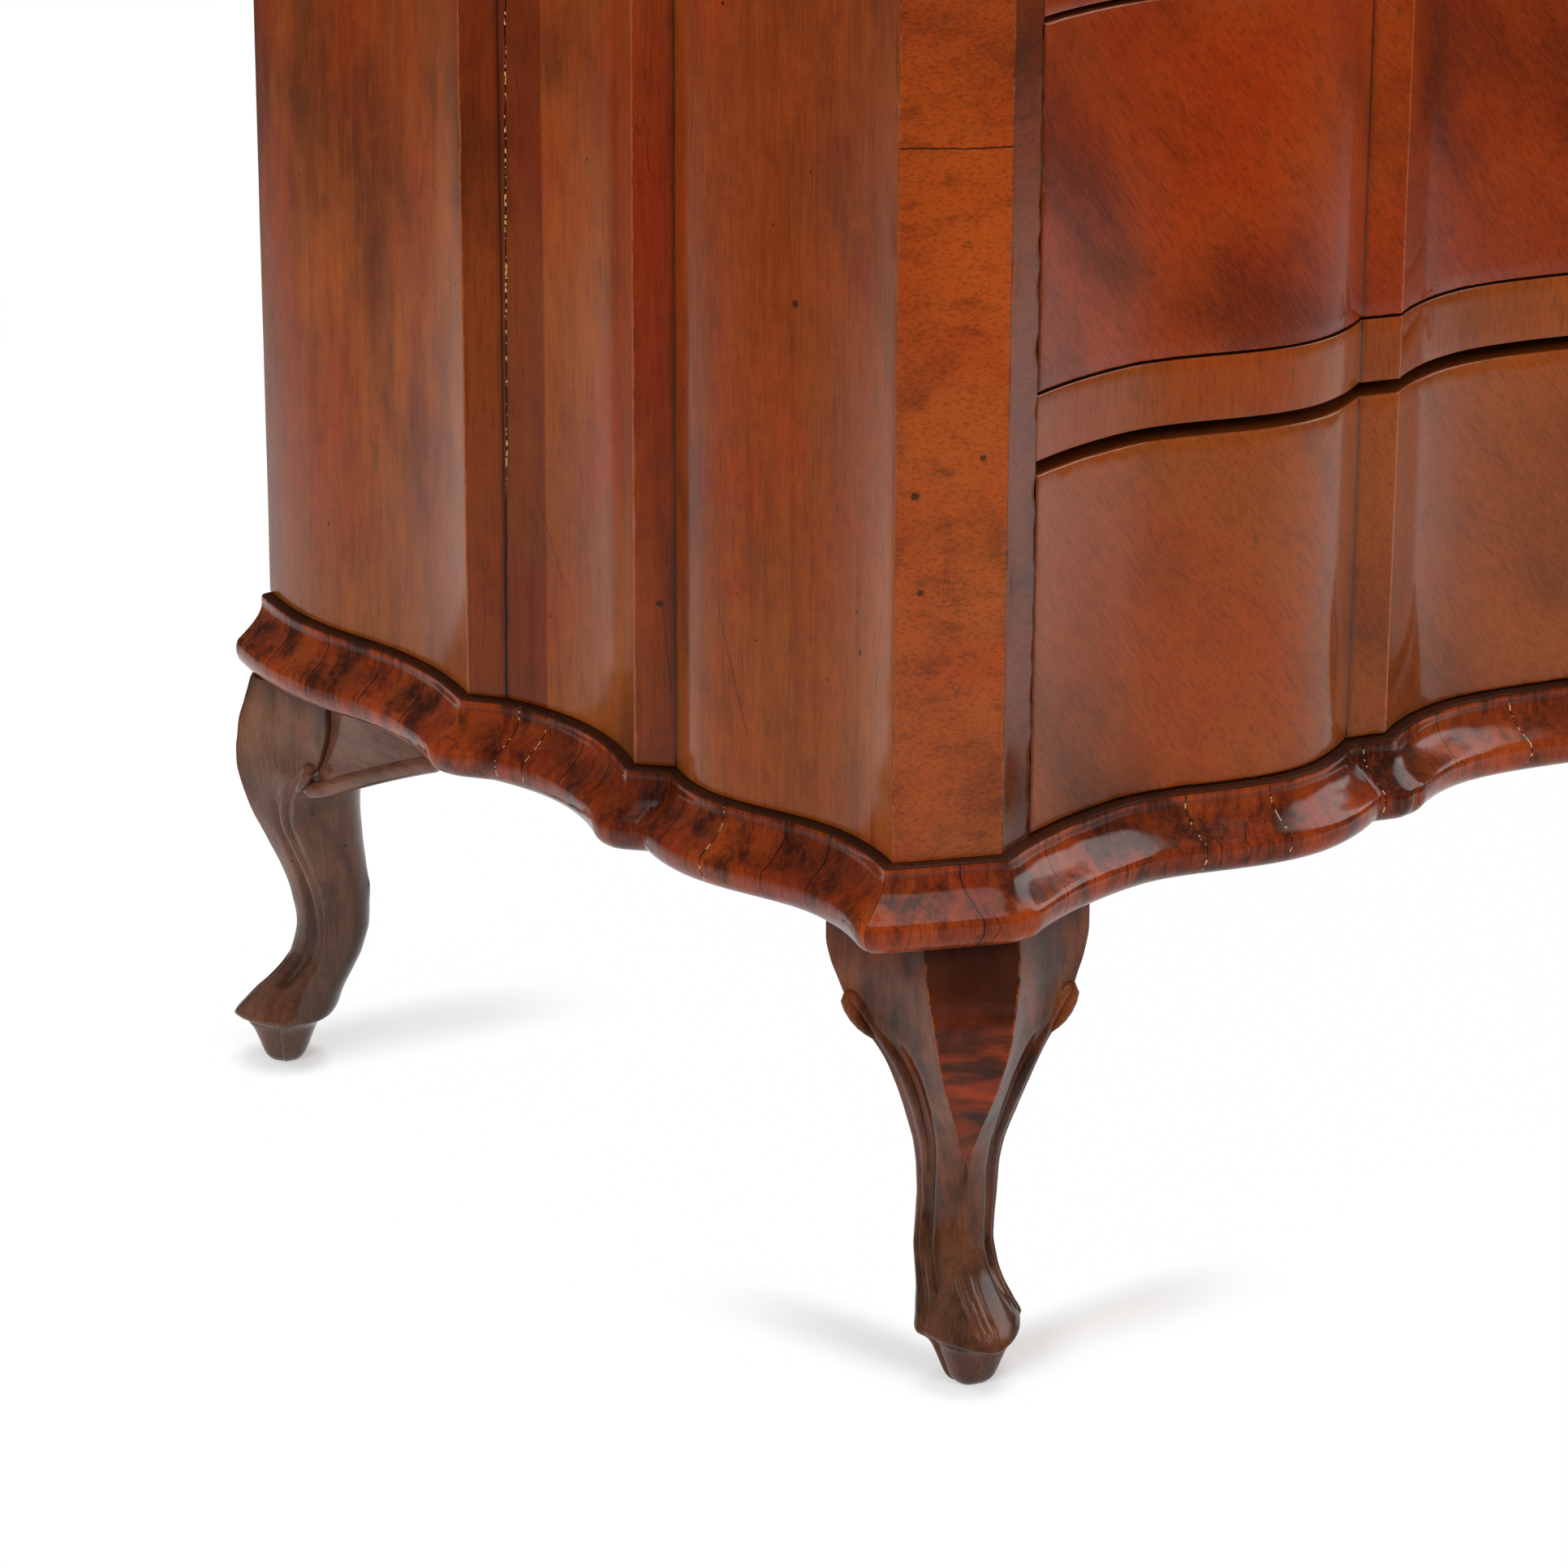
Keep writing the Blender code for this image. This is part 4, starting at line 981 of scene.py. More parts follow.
@dataclass
class Solid:
    """Points and faces that become one mesh piece.

    Attributes:
        points: Its points, one row each.
        faces: Its faces as point numbers.
    """

    points: np.ndarray
    faces: list[tuple[int, ...]]

    @classmethod
    def through(cls, rings: np.ndarray) -> "Solid":
        """A closed solid through rings of points, capped at both ends.

        Args:
            rings: The rings, each with the same number of points.

        Returns:
            The solid.
        """
        rows, columns, _ = rings.shape
        faces = sheet_faces(rows, columns, closed=True)
        faces.append(tuple(reversed(range(columns))))
        faces.append(tuple(range((rows - 1) * columns, rows * columns)))
        return cls(rings.reshape(-1, 3), faces)

    @classmethod
    def looped(cls, rings: np.ndarray) -> "Solid":
        """A closed solid through rings of points, the last of which is joined to the first.

        Args:
            rings: The rings, each with the same number of points.

        Returns:
            The solid.
        """
        rows, columns, _ = rings.shape
        faces = [tuple(i % (rows * columns) for i in f) for f in sheet_faces(rows + 1, columns, closed=True)]
        return cls(rings.reshape(-1, 3), faces)

    def with_solid(self, other: "Solid") -> "Solid":
        """This solid and another as one piece.

        Args:
            other: The other solid.

        Returns:
            Both in one.
        """
        shift = len(self.points)
        faces = self.faces + [tuple(i + shift for i in f) for f in other.faces]
        return Solid(np.vstack([self.points, other.points]), faces)

    def mirrored(self) -> "Solid":
        """The same solid on the other side of the chest."""
        return Solid(self.points * np.array([-1.0, 1.0, 1.0]), [tuple(reversed(f)) for f in self.faces])

    def mesh(self, name: str, sharp: float) -> bpy.types.Mesh:
        """A smooth shaded mesh with outward faces.

        Args:
            name: Its name.
            sharp: Angle in degrees above which an edge stays sharp.

        Returns:
            The mesh.
        """
        mesh = bpy.data.meshes.new(name)
        mesh.from_pydata(self.points.tolist(), [], self.faces)
        bm = bmesh.new()
        bm.from_mesh(mesh)
        bmesh.ops.recalc_face_normals(bm, faces=bm.faces)
        bm.to_mesh(mesh)
        bm.free()
        mesh.shade_smooth()
        mesh.set_sharp_from_angle(angle=math.radians(sharp))
        return mesh


def tube(path: np.ndarray, radii: np.ndarray, around: int = 12) -> Solid:
    """A rounded rod along a path.

    Args:
        path: Its middle line, one row per place.
        radii: Its radius at each place.
        around: Points round it.

    Returns:
        The closed solid.
    """
    heads = unit(np.gradient(path, axis=0))
    side = np.cross(heads[0], (0.0, 0.0, 1.0) if abs(heads[0][2]) < 0.9 else (1.0, 0.0, 0.0))
    rings = []
    turns = 2 * np.pi * np.arange(around) / around
    for place, head, radius in zip(path, heads, radii):
        side = unit(side - head * np.dot(side, head))
        up = np.cross(head, side)
        rings.append(place + radius * (np.outer(np.cos(turns), side) + np.outer(np.sin(turns), up)))
    return Solid.through(np.array(rings))


def upright_ring(wide: float, tall: float, y: float, height: float, around: int) -> np.ndarray:
    """An oval of points that stands across Y in the middle of the chest.

    Args:
        wide: Half its width.
        tall: Half its height.
        y: Its depth.
        height: Height of its middle.
        around: How many points it has.

    Returns:
        The points, one row each.
    """
    turns = 2 * np.pi * np.arange(around) / around
    return np.column_stack([wide * np.cos(turns), np.full(around, y), height + tall * np.sin(turns)])


def turned_along_y(profile: Sequence[tuple[float, float]], height: float, around: int = 32) -> Solid:
    """A turned piece on an axis along Y in the middle of the chest.

    Args:
        profile: Its outline as (depth, radius) pairs.
        height: Height of its axis.
        around: Points round it.

    Returns:
        The closed solid.
    """
    return Solid.through(np.array([upright_ring(r, r, y, height, around) for y, r in profile]))


@dataclass
class Piece:
    """What a mesh piece is called, what it rides on and what it stands for.

    Attributes:
        name: Name of the piece.
        body: Body that it moves with.
        slot: Material slot of the record; not used.
        material: Its finish.
        replaces: Solids that it stands for.
    """

    name: str
    body: str
    slot: str
    material: bpy.types.Material
    replaces: tuple[str, ...] = ()

    def place(self, solid: Solid, sharp: float, marks: dict[str, Mark] | None = None,
              cutters: Sequence[Solid] = ()) -> None:
        """Make the object.

        Args:
            solid: Its shape.
            sharp: Angle in degrees above which an edge stays sharp.
            marks: Values kept on its points, by name.
            cutters: Shapes that are cut out of it.
        """
        mesh = solid.mesh(self.name, sharp)
        obj = bpy.data.objects.new(self.name, mesh)
        bpy.context.collection.objects.link(obj)
        for cutter in cutters:
            self._cut(obj, cutter)
        mesh = obj.data
        if cutters:
            mesh.shade_smooth()
            mesh.set_sharp_from_angle(angle=math.radians(sharp))
        mesh.materials.clear()
        mesh.materials.append(self.material)
        co = np.array([v.co for v in mesh.vertices])
        for key, mark in (marks or {}).items():
            layer = mesh.attributes.new(key, "FLOAT", "POINT")
            layer.data.foreach_set("value", mark(co).astype(np.float32))
        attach(obj, self.body)
        if self.replaces:
            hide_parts(*self.replaces)
        LOG.info("%s: %d faces on %s", self.name, len(mesh.polygons), self.body)

    @staticmethod
    def _cut(obj: bpy.types.Object, cutter: Solid) -> None:
        """Cut one solid out of the object.

        Args:
            obj: The object.
            cutter: The solid that is cut out.
        """
        tool = bpy.data.objects.new("tool", cutter.mesh("tool", 30.0))
        bpy.context.collection.objects.link(tool)
        modifier = obj.modifiers.new("cut", "BOOLEAN")
        modifier.operation = "DIFFERENCE"
        modifier.solver = "EXACT"
        modifier.object = tool
        bpy.context.view_layer.update()
        cut = bpy.data.meshes.new_from_object(obj.evaluated_get(bpy.context.evaluated_depsgraph_get()))
        obj.modifiers.clear()
        old = obj.data
        obj.data = cut
        cut.name = old.name
        bpy.data.meshes.remove(old)
        bpy.data.objects.remove(tool, do_unlink=True)


def block(low: Sequence[float], high: Sequence[float]) -> Solid:
    """A rectangular solid between two corners, for cutting."""
    corners = ((low[0], low[1]), (high[0], low[1]), (high[0], high[1]), (low[0], high[1]))
    return Solid.through(np.array([[(x, y, z) for x, y in corners] for z in (low[2], high[2])]))


def eased(low: float, high: float, radius: float, step: float) -> np.ndarray:
    """Places between two edges, close together where the edges are rounded.

    Args:
        low: First edge.
        high: Last edge.
        radius: Radius of the edges.
        step: Spacing between them.

    Returns:
        The places.
    """
    near = radius * np.array([0.0, 0.12, 0.35, 0.65])
    count = max(2, math.ceil((high - low - 2 * radius) / step))
    inner = np.linspace(low + radius, high - radius, count + 1)
    return np.concatenate([low + near, inner, high - near[::-1]])


def round_edge(distance: np.ndarray, radius: float) -> np.ndarray:
    """How far a face falls back at a distance from its rounded edge."""
    short = np.clip(radius - distance, 0.0, radius)
    return radius - np.sqrt(np.maximum(radius ** 2 - short ** 2, 0.0))


# --- The finishes of the chest ---


class Finishes:
    """All materials, made once under their names."""

    def __init__(self) -> None:
        """Describe the woods and metals."""
        self.side_wood = WoodFinish(
            light=srgb(168, 84, 25), middle=srgb(138, 57, 13), red=srgb(154, 50, 8), dark=srgb(60, 24, 9),
            edge=srgb(156, 80, 34), zone=(8.0, 4.0), streak_depth=0.14, fibre_depth=0.14, mottle=0.17, cloud=0.75,
            stain=(20.0, 12.0), stain_share=(0.5, 0.8), grit=0.14, holes=0.5, crackle=0.25, figure=0.05,
            coat=1.0, coat_rough=0.16, low=srgb(132, 74, 24), low_share=0.5,
        )
        self.drawer_wood = WoodFinish(
            light=srgb(154, 60, 13), middle=srgb(136, 46, 8), red=srgb(148, 44, 6), dark=srgb(56, 19, 6),
            zone=(6.0, 5.0), stain=(14.0, 8.0), stain_depth=0.4, streak=(90.0, 12.0), streak_depth=0.12,
            fibre=(900.0, 90.0), fibre_depth=0.2, mottle=0.15, cloud=0.8, grit=0.15, edge=srgb(160, 78, 30),
            coat=1.0, coat_rough=0.09, low=srgb(128, 66, 20), low_share=0.3,
        )
        self.low_drawer_wood = replace(
            self.drawer_wood, light=srgb(150, 72, 23), middle=srgb(132, 60, 16), red=srgb(148, 56, 11),
            dark=srgb(72, 34, 13),
        )
        self.top_wood = replace(
            self.drawer_wood, light=srgb(148, 74, 28), middle=srgb(128, 56, 18), red=srgb(138, 52, 14),
            dark=srgb(66, 30, 12), cloud=0.6,
        )
        self.cross_wood = WoodFinish(
            light=srgb(168, 72, 16), middle=srgb(144, 57, 13), red=srgb(154, 50, 8), dark=srgb(66, 27, 10),
            zone=(8.0, 10.0), stain=(50.0, 60.0), stain_share=(0.56, 0.84), stain_depth=0.4, streak=(130.0, 12.0),
            streak_depth=0.26, fibre=(900.0, 30.0), fibre_depth=0.26, mottle=0.07, cloud=0.75, grit=0.05,
            crackle=0.2, edge=srgb(166, 88, 40), coat=1.0, coat_rough=0.14, low=srgb(132, 76, 26), low_share=0.45,
        )
        self.moulding_wood = WoodFinish(
            light=srgb(162, 66, 15), middle=srgb(110, 38, 8), red=srgb(142, 45, 7), dark=srgb(34, 13, 7),
            zone=(16.0, 10.0), stain=(44.0, 26.0), stain_share=(0.44, 0.66), stain_depth=0.85,
            streak=(220.0, 24.0), streak_depth=0.34, fibre=(700.0, 60.0), crackle=0.7, coat=1.0, coat_rough=0.11,
            rough=(0.3, 0.44), edge=srgb(146, 62, 24), lumps=6.0, dust=srgb(50, 28, 18),
        )
        self.leg_wood = WoodFinish(
            light=srgb(126, 66, 34), middle=srgb(80, 40, 21), red=srgb(110, 42, 13), dark=srgb(26, 13, 7),
            zone=(22.0, 11.0), stain=(52.0, 22.0), stain_share=(0.42, 0.68), stain_depth=0.6, streak=(110.0, 9.0),
            streak_depth=0.24, cloud=0.6, mottle=0.2, grit=0.12, holes=0.9, crackle=0.4, coat=0.76, coat_rough=0.09,
            rough=(0.3, 0.46), edge=srgb(138, 66, 28), lumps=1.2, flame=srgb(146, 52, 10), low=srgb(76, 58, 45),
            low_reach=(0.15, 0.03), low_share=0.75,
        )
        # Back legs and brackets: a lighter, greyer copy of the leg wood as painted sheen, with more wormholes.
        self.back_leg_wood_painted_sheen = replace(
            self.leg_wood, light=srgb(134, 90, 66), middle=srgb(94, 62, 46), red=srgb(108, 56, 34),
            low=srgb(84, 64, 50), worms=0.34, holes=1.0, streak_depth=0.12, stain_depth=0.4, mottle=0.14,
        )
        self.raw_poplar = WoodFinish(
            light=srgb(206, 170, 122), middle=srgb(178, 138, 92), red=srgb(168, 118, 72), dark=srgb(112, 80, 50),
            streak_depth=0.5, fibre_depth=0.4, pores=0.4, holes=0.6, crackle=0.5, coat=0.0, rough=(0.6, 0.8),
            edge=srgb(212, 180, 134),
        )
        self.raw_pine = WoodFinish(
            light=srgb(214, 178, 126), middle=srgb(192, 152, 102), red=srgb(182, 128, 78), dark=srgb(136, 96, 58),
            streak_depth=0.4, fibre_depth=0.3, pores=0.2, holes=0.5, figure=0.5, coat=0.0, rough=(0.62, 0.82),
            edge=srgb(216, 186, 140),
        )
        self.iron = MetalFinish(srgb(120, 114, 108), srgb(54, 46, 42), (0.38, 0.62))
        self.brass = MetalFinish(srgb(206, 164, 88), srgb(116, 82, 40), (0.26, 0.5))
        self._made: dict[str, bpy.types.Material] = {}

    def wood(self, finish: WoodFinish, name: str, grain: Grain, seed: int,
             age: Age | None = None) -> bpy.types.Material:
        """A wood material, made at its first use.

        Args:
            finish: The wood.
            name: Name of the material.
            grain: The way its grain runs.
            seed: Which part of the pattern it shows.
            age: Marks at known places.

        Returns:
            The material.
        """
        if name not in self._made:
            self._made[name] = finish.material(name, grain, seed, age)
        return self._made[name]

    def metal(self, finish: MetalFinish, name: str) -> bpy.types.Material:
        """A metal material, made at its first use.

        Args:
            finish: The metal.
            name: Name of the material.

        Returns:
            The material.
        """
        if name not in self._made:
            self._made[name] = finish.material(name)
        return self._made[name]


SIDE_AGE_AND_SHADE = Age(
    axis=1,
    cracks=(
        Crack((0.0676, 0.250), (0.0662, 0.354), 0.0006, 1.0),
        Crack((0.0662, 0.354), (0.0600, 0.820), 0.0006, 1.0, True),
        Crack((0.0302, 0.312), (0.0480, 0.352), 0.0004, 0.6),
        Crack((-0.1150, 0.282), (-0.0970, 0.342), 0.0004, 0.6),
        Crack((-0.0560, 0.286), (-0.0530, 0.330), 0.0003, 0.5),
        Crack((-0.0150, 0.290), (-0.0090, 0.312), 0.0003, 0.5),
        Crack((0.1100, 0.420), (0.1180, 0.560), 0.0003, 0.3),
    ),
    spots=(
        (0.2077, 0.304, 0.0013), (-0.1010, 0.610, 0.0012), (0.0100, 0.520, 0.0010), (-0.1773, 0.354, 0.0011),
        (-0.1798, 0.336, 0.0016), (-0.1578, 0.318, 0.0009), (-0.1193, 0.328, 0.0008), (-0.0518, 0.328, 0.0018),
        (-0.1393, 0.484, 0.0022),
    ),
    # Painted shade on the two narrow flats and on the middle panel's end next to the rear valley.
    bands=(
        (0.0675, 0.0837, srgb(215, 190, 180), 1.0), (-0.0577, -0.0425, srgb(235, 200, 180), 1.0),
        (0.0430, 0.0675, srgb(205, 185, 170), 1.0),
    ),
)
POST_AGE = Age(
    axis=0,
    cracks=(
        Crack((-0.531, 0.5655), (-0.485, 0.5635), 0.0005, 0.9, False, True),
        *(
            Crack((-0.5110 + 0.0011 * i, 0.364 + 0.003 * (i % 3)),
                  (-0.5105 + 0.0011 * i, 0.400 - 0.004 * (i % 2)), 0.0002, 0.35)
            for i in range(5)
        ),
        *(
            Crack((-0.516, 0.3655 + 0.0022 * i), (-0.500, 0.3650 + 0.0022 * i), 0.0002, 0.3, False, True)
            for i in range(4)
        ),
    ),
    spots=((-0.5225, 0.415, 0.0022), (-0.4960, 0.430, 0.0016), (-0.5200, 0.372, 0.0018)),
)


def moulding_age(axis: int, cracks: Sequence[tuple[float, bool]]) -> Age:
    """Upright cracks and joints in the cross-grain pieces of a moulding.

    Args:
        axis: Axis along the moulding.
        cracks: Their places along it, and whether pale filler shows in them.

    Returns:
        The marks.
    """
    return Age(axis, tuple(
        Crack((place, 0.212), (place + 0.002, 0.252), 0.0005, 0.9, flecks) for place, flecks in cracks
    ))


SIDE_MOULDING_AGE = moulding_age(1, (
    (0.0533, True), (0.0367, True), (-0.1091, True), (-0.0811, False), (0.1250, False), (0.2010, False),
    (0.1620, False), (0.0080, False), (-0.1420, False), (-0.1680, False), (-0.0200, False), (0.2350, False),
))
FRONT_MOULDING_AGE = moulding_age(0, (
    (-0.4578, False), (-0.3718, True), (-0.3320, True), (-0.1574, True), (-0.2612, True), (-0.4150, False),
    (-0.2030, False), (-0.1000, True), (-0.0420, False), (0.0380, True), (0.0950, False), (0.1810, True),
    (0.2400, False), (0.3080, True), (0.3640, False), (0.4210, True), (0.4630, False), (-0.5080, False),
    (0.5120, False),
))


# --- The case ---


@dataclass
class CaseBody:
    """Side panels, corner posts and rails.

    Attributes:
        finishes: Where the materials come from.
        step: Spacing of points along the outline.
        rows: Spacing of points up the case.
        side_inside: Thickness of the side panels at the corner arris.
        post_depth: Depth of the front posts.
        rail_back: Depth of the rails.
        ease: Radius of the upper and lower edges.
        rails: Lowest and highest point of each rail, by name.
        bolt_place: Depth of the mortises' middle and half their width.
    """

    finishes: Finishes
    step: float = 0.0028
    rows: float = 0.0055
    side_inside: float = 0.028
    post_depth: float = 0.045
    rail_back: float = 0.060
    ease: float = 0.0008
    rails: tuple[tuple[str, float, float], ...] = (
        ("rail_lower", 0.421, 0.4505), ("rail_middle", 0.614, 0.6435), ("rail_top", 0.7935, 0.8197),
    )
    bolt_place: tuple[float, float] = (-0.2283, 0.005)

    def build(self) -> None:
        """Build every shown piece of the case's sides and front."""
        self._sides()
        self._posts()
        self._rails()

    def _sides(self) -> None:
        """The shaped side panels, one piece each."""
        face = corner_line(PLAN.stretches(self.step)[-5:], CREASE)
        face[0] = face[0] + np.array([0.0, GAP])
        heights = eased(PLAN.base_top + GAP, PLAN.case_top - GAP, self.ease, self.rows)
        bisect = self._mitre()
        inner_y = PLAN.corner_y + bisect[1] * (self.side_inside / -bisect[0])
        back = np.array([[PLAN.inside_x, PLAN.back_y], [PLAN.inside_x, inner_y + GAP]])
        normals = outward(face)
        rings = []
        for z in heights:
            fall = round_edge(np.array(min(z - heights[0], heights[-1] - z)), self.ease)
            line = raised(face, z)
            wave = ruffle(line, 14.0, 3.0) * 0.00022 + ruffle(line, 45.0, 5.0) * 0.00006
            near = PLAN.worn(0.0016)(line)
            bite = np.clip(ruffle(line, 70.0, 9.0) - 0.28, 0.0, 1.0) * near * 0.0016
            line[:, :2] += normals * (wave - bite - fall)[:, None]
            line[0, 1] = max(line[0, 1], PLAN.corner_y + GAP)
            rings.append(np.vstack([line, raised(back, z)]))
        solid = Solid.through(np.array(rings))
        marks = {"worn": PLAN.worn(0.0022), "grime": PLAN.valley_shade_and_grime}
        for name, shape, seed in (("side_right", solid, 4), ("side_left", solid.mirrored(), 1)):
            material = self.finishes.wood(self.finishes.side_wood, "veneer_" + name, Grain.UPRIGHT, seed, SIDE_AGE_AND_SHADE)
            Piece(name + "_veneered", "case", "walnut_side", material, (name,)).place(shape, 24.0, marks)

    @staticmethod
    def _mitre() -> np.ndarray:
        """Direction of the joint between post and side, from the right corner arris inwards.

        Returns:
            The direction, with a length of 1.
        """
        front_run = np.array([-0.0439, -0.0222])
        side_run = np.array([-0.009 * (1 - 0.75 ** 2), 0.0115])
        return unit(unit(front_run) + unit(side_run))

    def _posts(self) -> None:
        """Canted corner posts with the plain stile beside the drawers."""
        face = corner_line(PLAN.stretches(self.step)[-7:-5], 0.001)
        stop = PLAN.opening_x + GAP
        face = face[face[:, 0] > stop]
        face = np.vstack([[stop, PLAN.front_y(stop)], face])
        face[-1] = (PLAN.half_width, PLAN.corner_y)
        bisect = self._mitre()
        inner = np.array([PLAN.half_width, PLAN.corner_y]) + bisect * ((self.side_inside + GAP) / -bisect[0])
        depth = PLAN.corner_y + self.post_depth
        behind = np.array([inner, [inner[0], depth], [stop, depth]])
        normals = outward(face)
        heights = eased(PLAN.base_top + GAP, PLAN.case_top - GAP, self.ease, 0.004)
        rings = []
        for z in heights:
            line = raised(face, z)
            wave = ruffle(line, 20.0, 2.0) * 0.0002
            near = PLAN.worn(0.002)(line)
            bite = np.clip(ruffle(line, 60.0, 4.0) - 0.2, 0.0, 1.0) * near * 0.0022
            edge = fading(line[:, 0] - stop, 0.0012)
            nick = np.clip(ruffle(line, 110.0, 6.0) + 0.1, 0.0, 1.0) * edge * 0.0014
            line[:, :2] += normals * (wave - bite - nick)[:, None]
            rings.append(np.vstack([line, raised(behind, z)]))
        solid = Solid.through(np.array(rings))

        def worn(co: np.ndarray) -> np.ndarray:
            """Wear of both arrises and of the edge beside the drawers."""
            edge = fading(np.abs(co[:, 0]) - stop, 0.0014) * (co[:, 1] < PLAN.corner_y)
            return np.maximum(PLAN.worn(0.0024)(co) * 0.8, edge * 1.05)

        def stile(co: np.ndarray) -> np.ndarray:
            """1 on the stile, 0 on the cant."""
            return (np.abs(co[:, 0]) < PLAN.half_width - 0.0437).astype(float)

        def grime(co: np.ndarray) -> np.ndarray:
            """Painted shade on the face beside the drawers, in the gap."""
            return (np.abs(co[:, 0]) < stop + 0.0002).astype(float)

        for name, shape, grain, seed in (
            ("post_front_right", solid, Grain.CANT_RIGHT, 5),
            ("post_front_left", solid.mirrored(), Grain.CANT_LEFT, 2),
        ):
            material = self.finishes.wood(self.finishes.cross_wood, "veneer_" + name, grain, seed, POST_AGE)
            Piece(name + "_veneered", "case", "walnut_side", material, (name,)).place(
                shape, 24.0, {"worn": worn, "stile": stile, "grime": grime}
            )

    def _rails(self) -> None:
        """The shaped rails, each with its mortise for the bolt."""
        for number, (name, low, high) in enumerate(self.rails):
            back = PLAN.corner_y + self.rail_back
            solid = front_band(PLAN.opening_x, low, high, 0.0009, self.step, lambda x: back)
            y, half = self.bolt_place
            mortise = block((-0.012, y - half, low - 0.01), (0.012, y + half, low + 0.012))
            wood = self.finishes.drawer_wood if number else self.finishes.low_drawer_wood
            material = self.finishes.wood(wood, "veneer_" + name, Grain.UPRIGHT, 11 + number)

            def worn(co: np.ndarray) -> np.ndarray:
                """Wear of the rail's edges and arrises."""
                rim = fading(np.minimum(co[:, 2] - low, high - co[:, 2]), 0.0016) * 0.9
                return np.maximum(PLAN.worn(0.0022)(co), rim) * (co[:, 1] < -0.2)

            def grime(co: np.ndarray) -> np.ndarray:
                """Painted shade and dirt in the valleys, and painted shade on the rail's hidden upper and lower faces.
                """
                hidden = np.minimum(co[:, 2] - low, high - co[:, 2])
                return np.maximum(PLAN.valley_shade_and_grime(co), (hidden < 0.0002).astype(float))

            Piece(name + "_veneered", "case", "walnut_polished", material, (name,)).place(
                solid, 24.0, {"worn": worn, "grime": grime}, [mortise]
            )


def front_band(edge: float, low: float, high: float, radius: float, step: float,
               inside: Callable[[float], float], groove: tuple[float, float, float] | None = None,
               crown: float = 0.0) -> Solid:
    """A length of the serpentine front with rounded edges.

    Args:
        edge: Half its width.
        low: Its lowest point.
        high: Its highest point.
        radius: Radius of its edges.
        step: Spacing of points along it.
        inside: Depth of its back at a place along its width.
        groove: Bottom, top and depth of a groove in its back.
        crown: How uneven its face is.

    Returns:
        The closed solid.
    """
    line = corner_line(PLAN.stretches(step)[5:-5], CREASE)
    normals = outward(line)
    spots = [edge - radius * share for share in (0.0, 0.12, 0.35, 0.65, 1.0)]
    xs = [x for x in line[:, 0] if abs(x) < edge - radius * 1.2]
    xs = np.array(sorted(set(round(x, 7) for x in xs + spots + [-x for x in spots])))
    order = np.argsort(line[:, 0])
    ys = np.interp(xs, line[order, 0], line[order, 1])
    nx = np.interp(xs, line[order, 0], normals[order, 0])
    ny = np.interp(xs, line[order, 0], normals[order, 1])
    heights = eased(low, high, radius, 0.0065)
    fall_z = round_edge(np.minimum(heights - low, high - heights), radius)
    fall_x = round_edge(edge - np.abs(xs), radius)
    rings = []
    for i, x in enumerate(xs):
        fall = np.minimum(fall_z + fall_x[i], radius * 1.25)
        spread = np.column_stack([np.full(len(heights), x), np.full(len(heights), ys[i]), heights])
        if crown:
            fall = fall - crown * ruffle(spread, 16.0, 7.0)
            bite = np.clip(ruffle(spread, 120.0, 8.0) - 0.1, 0.0, 1.0)
            rim = fading(np.minimum(np.minimum(heights - low, high - heights), edge - abs(x)), 0.002)
            fall = fall + bite * rim * 0.0011
        shift = 0.0 if i in (0, len(xs) - 1) else nx[i]
        face = np.column_stack([x - shift * fall, ys[i] - ny[i] * fall, heights])
        back = inside(x)
        rear = [(back, high)]
        if groove:
            foot, head, deep = groove
            rear += [(back, head), (back - deep, head), (back - deep, foot), (back, foot)]
        rings.append(np.vstack([face, [(x, y, z) for y, z in [*rear, (back, low)]]]))
    return Solid.through(np.array(rings))


def mitre_cuts(stretches: Sequence[Stretch], ends: tuple[np.ndarray, np.ndarray]) -> list[np.ndarray]:
    """Directions of the mitres at both ends of neighbouring stretches and between them."""
    between = [unit(part.normals[-1] + after.normals[0]) for part, after in zip(stretches, stretches[1:])]
    return [ends[0], *between, ends[1]]


def parts_along(part: Stretch, step: float) -> int:
    """How many parts of about a step a moulding has along a stretch."""
    return max(3, math.ceil(part.arc[-1] / step))


def mitred_line(stretches: Sequence[Stretch], cuts: Sequence[np.ndarray], out: float, step: float) -> np.ndarray:
    """A line parallel to neighbouring stretches, mitred at each crease.

    Args:
        stretches: The stretches in order.
        cuts: Directions of the mitres, one more than the stretches.
        out: How far outside them the line lies.
        step: Spacing of its points.

    Returns:
        The points, one row each.
    """
    line: list[np.ndarray] = []
    for i, part in enumerate(stretches):
        row = part.moved_out(out, (cuts[i], cuts[i + 1]), parts_along(part, step))
        if line:
            line[-1] = (row[0] + line[-1]) / 2
            row = row[1:]
        line += list(row)
    return np.array(line)


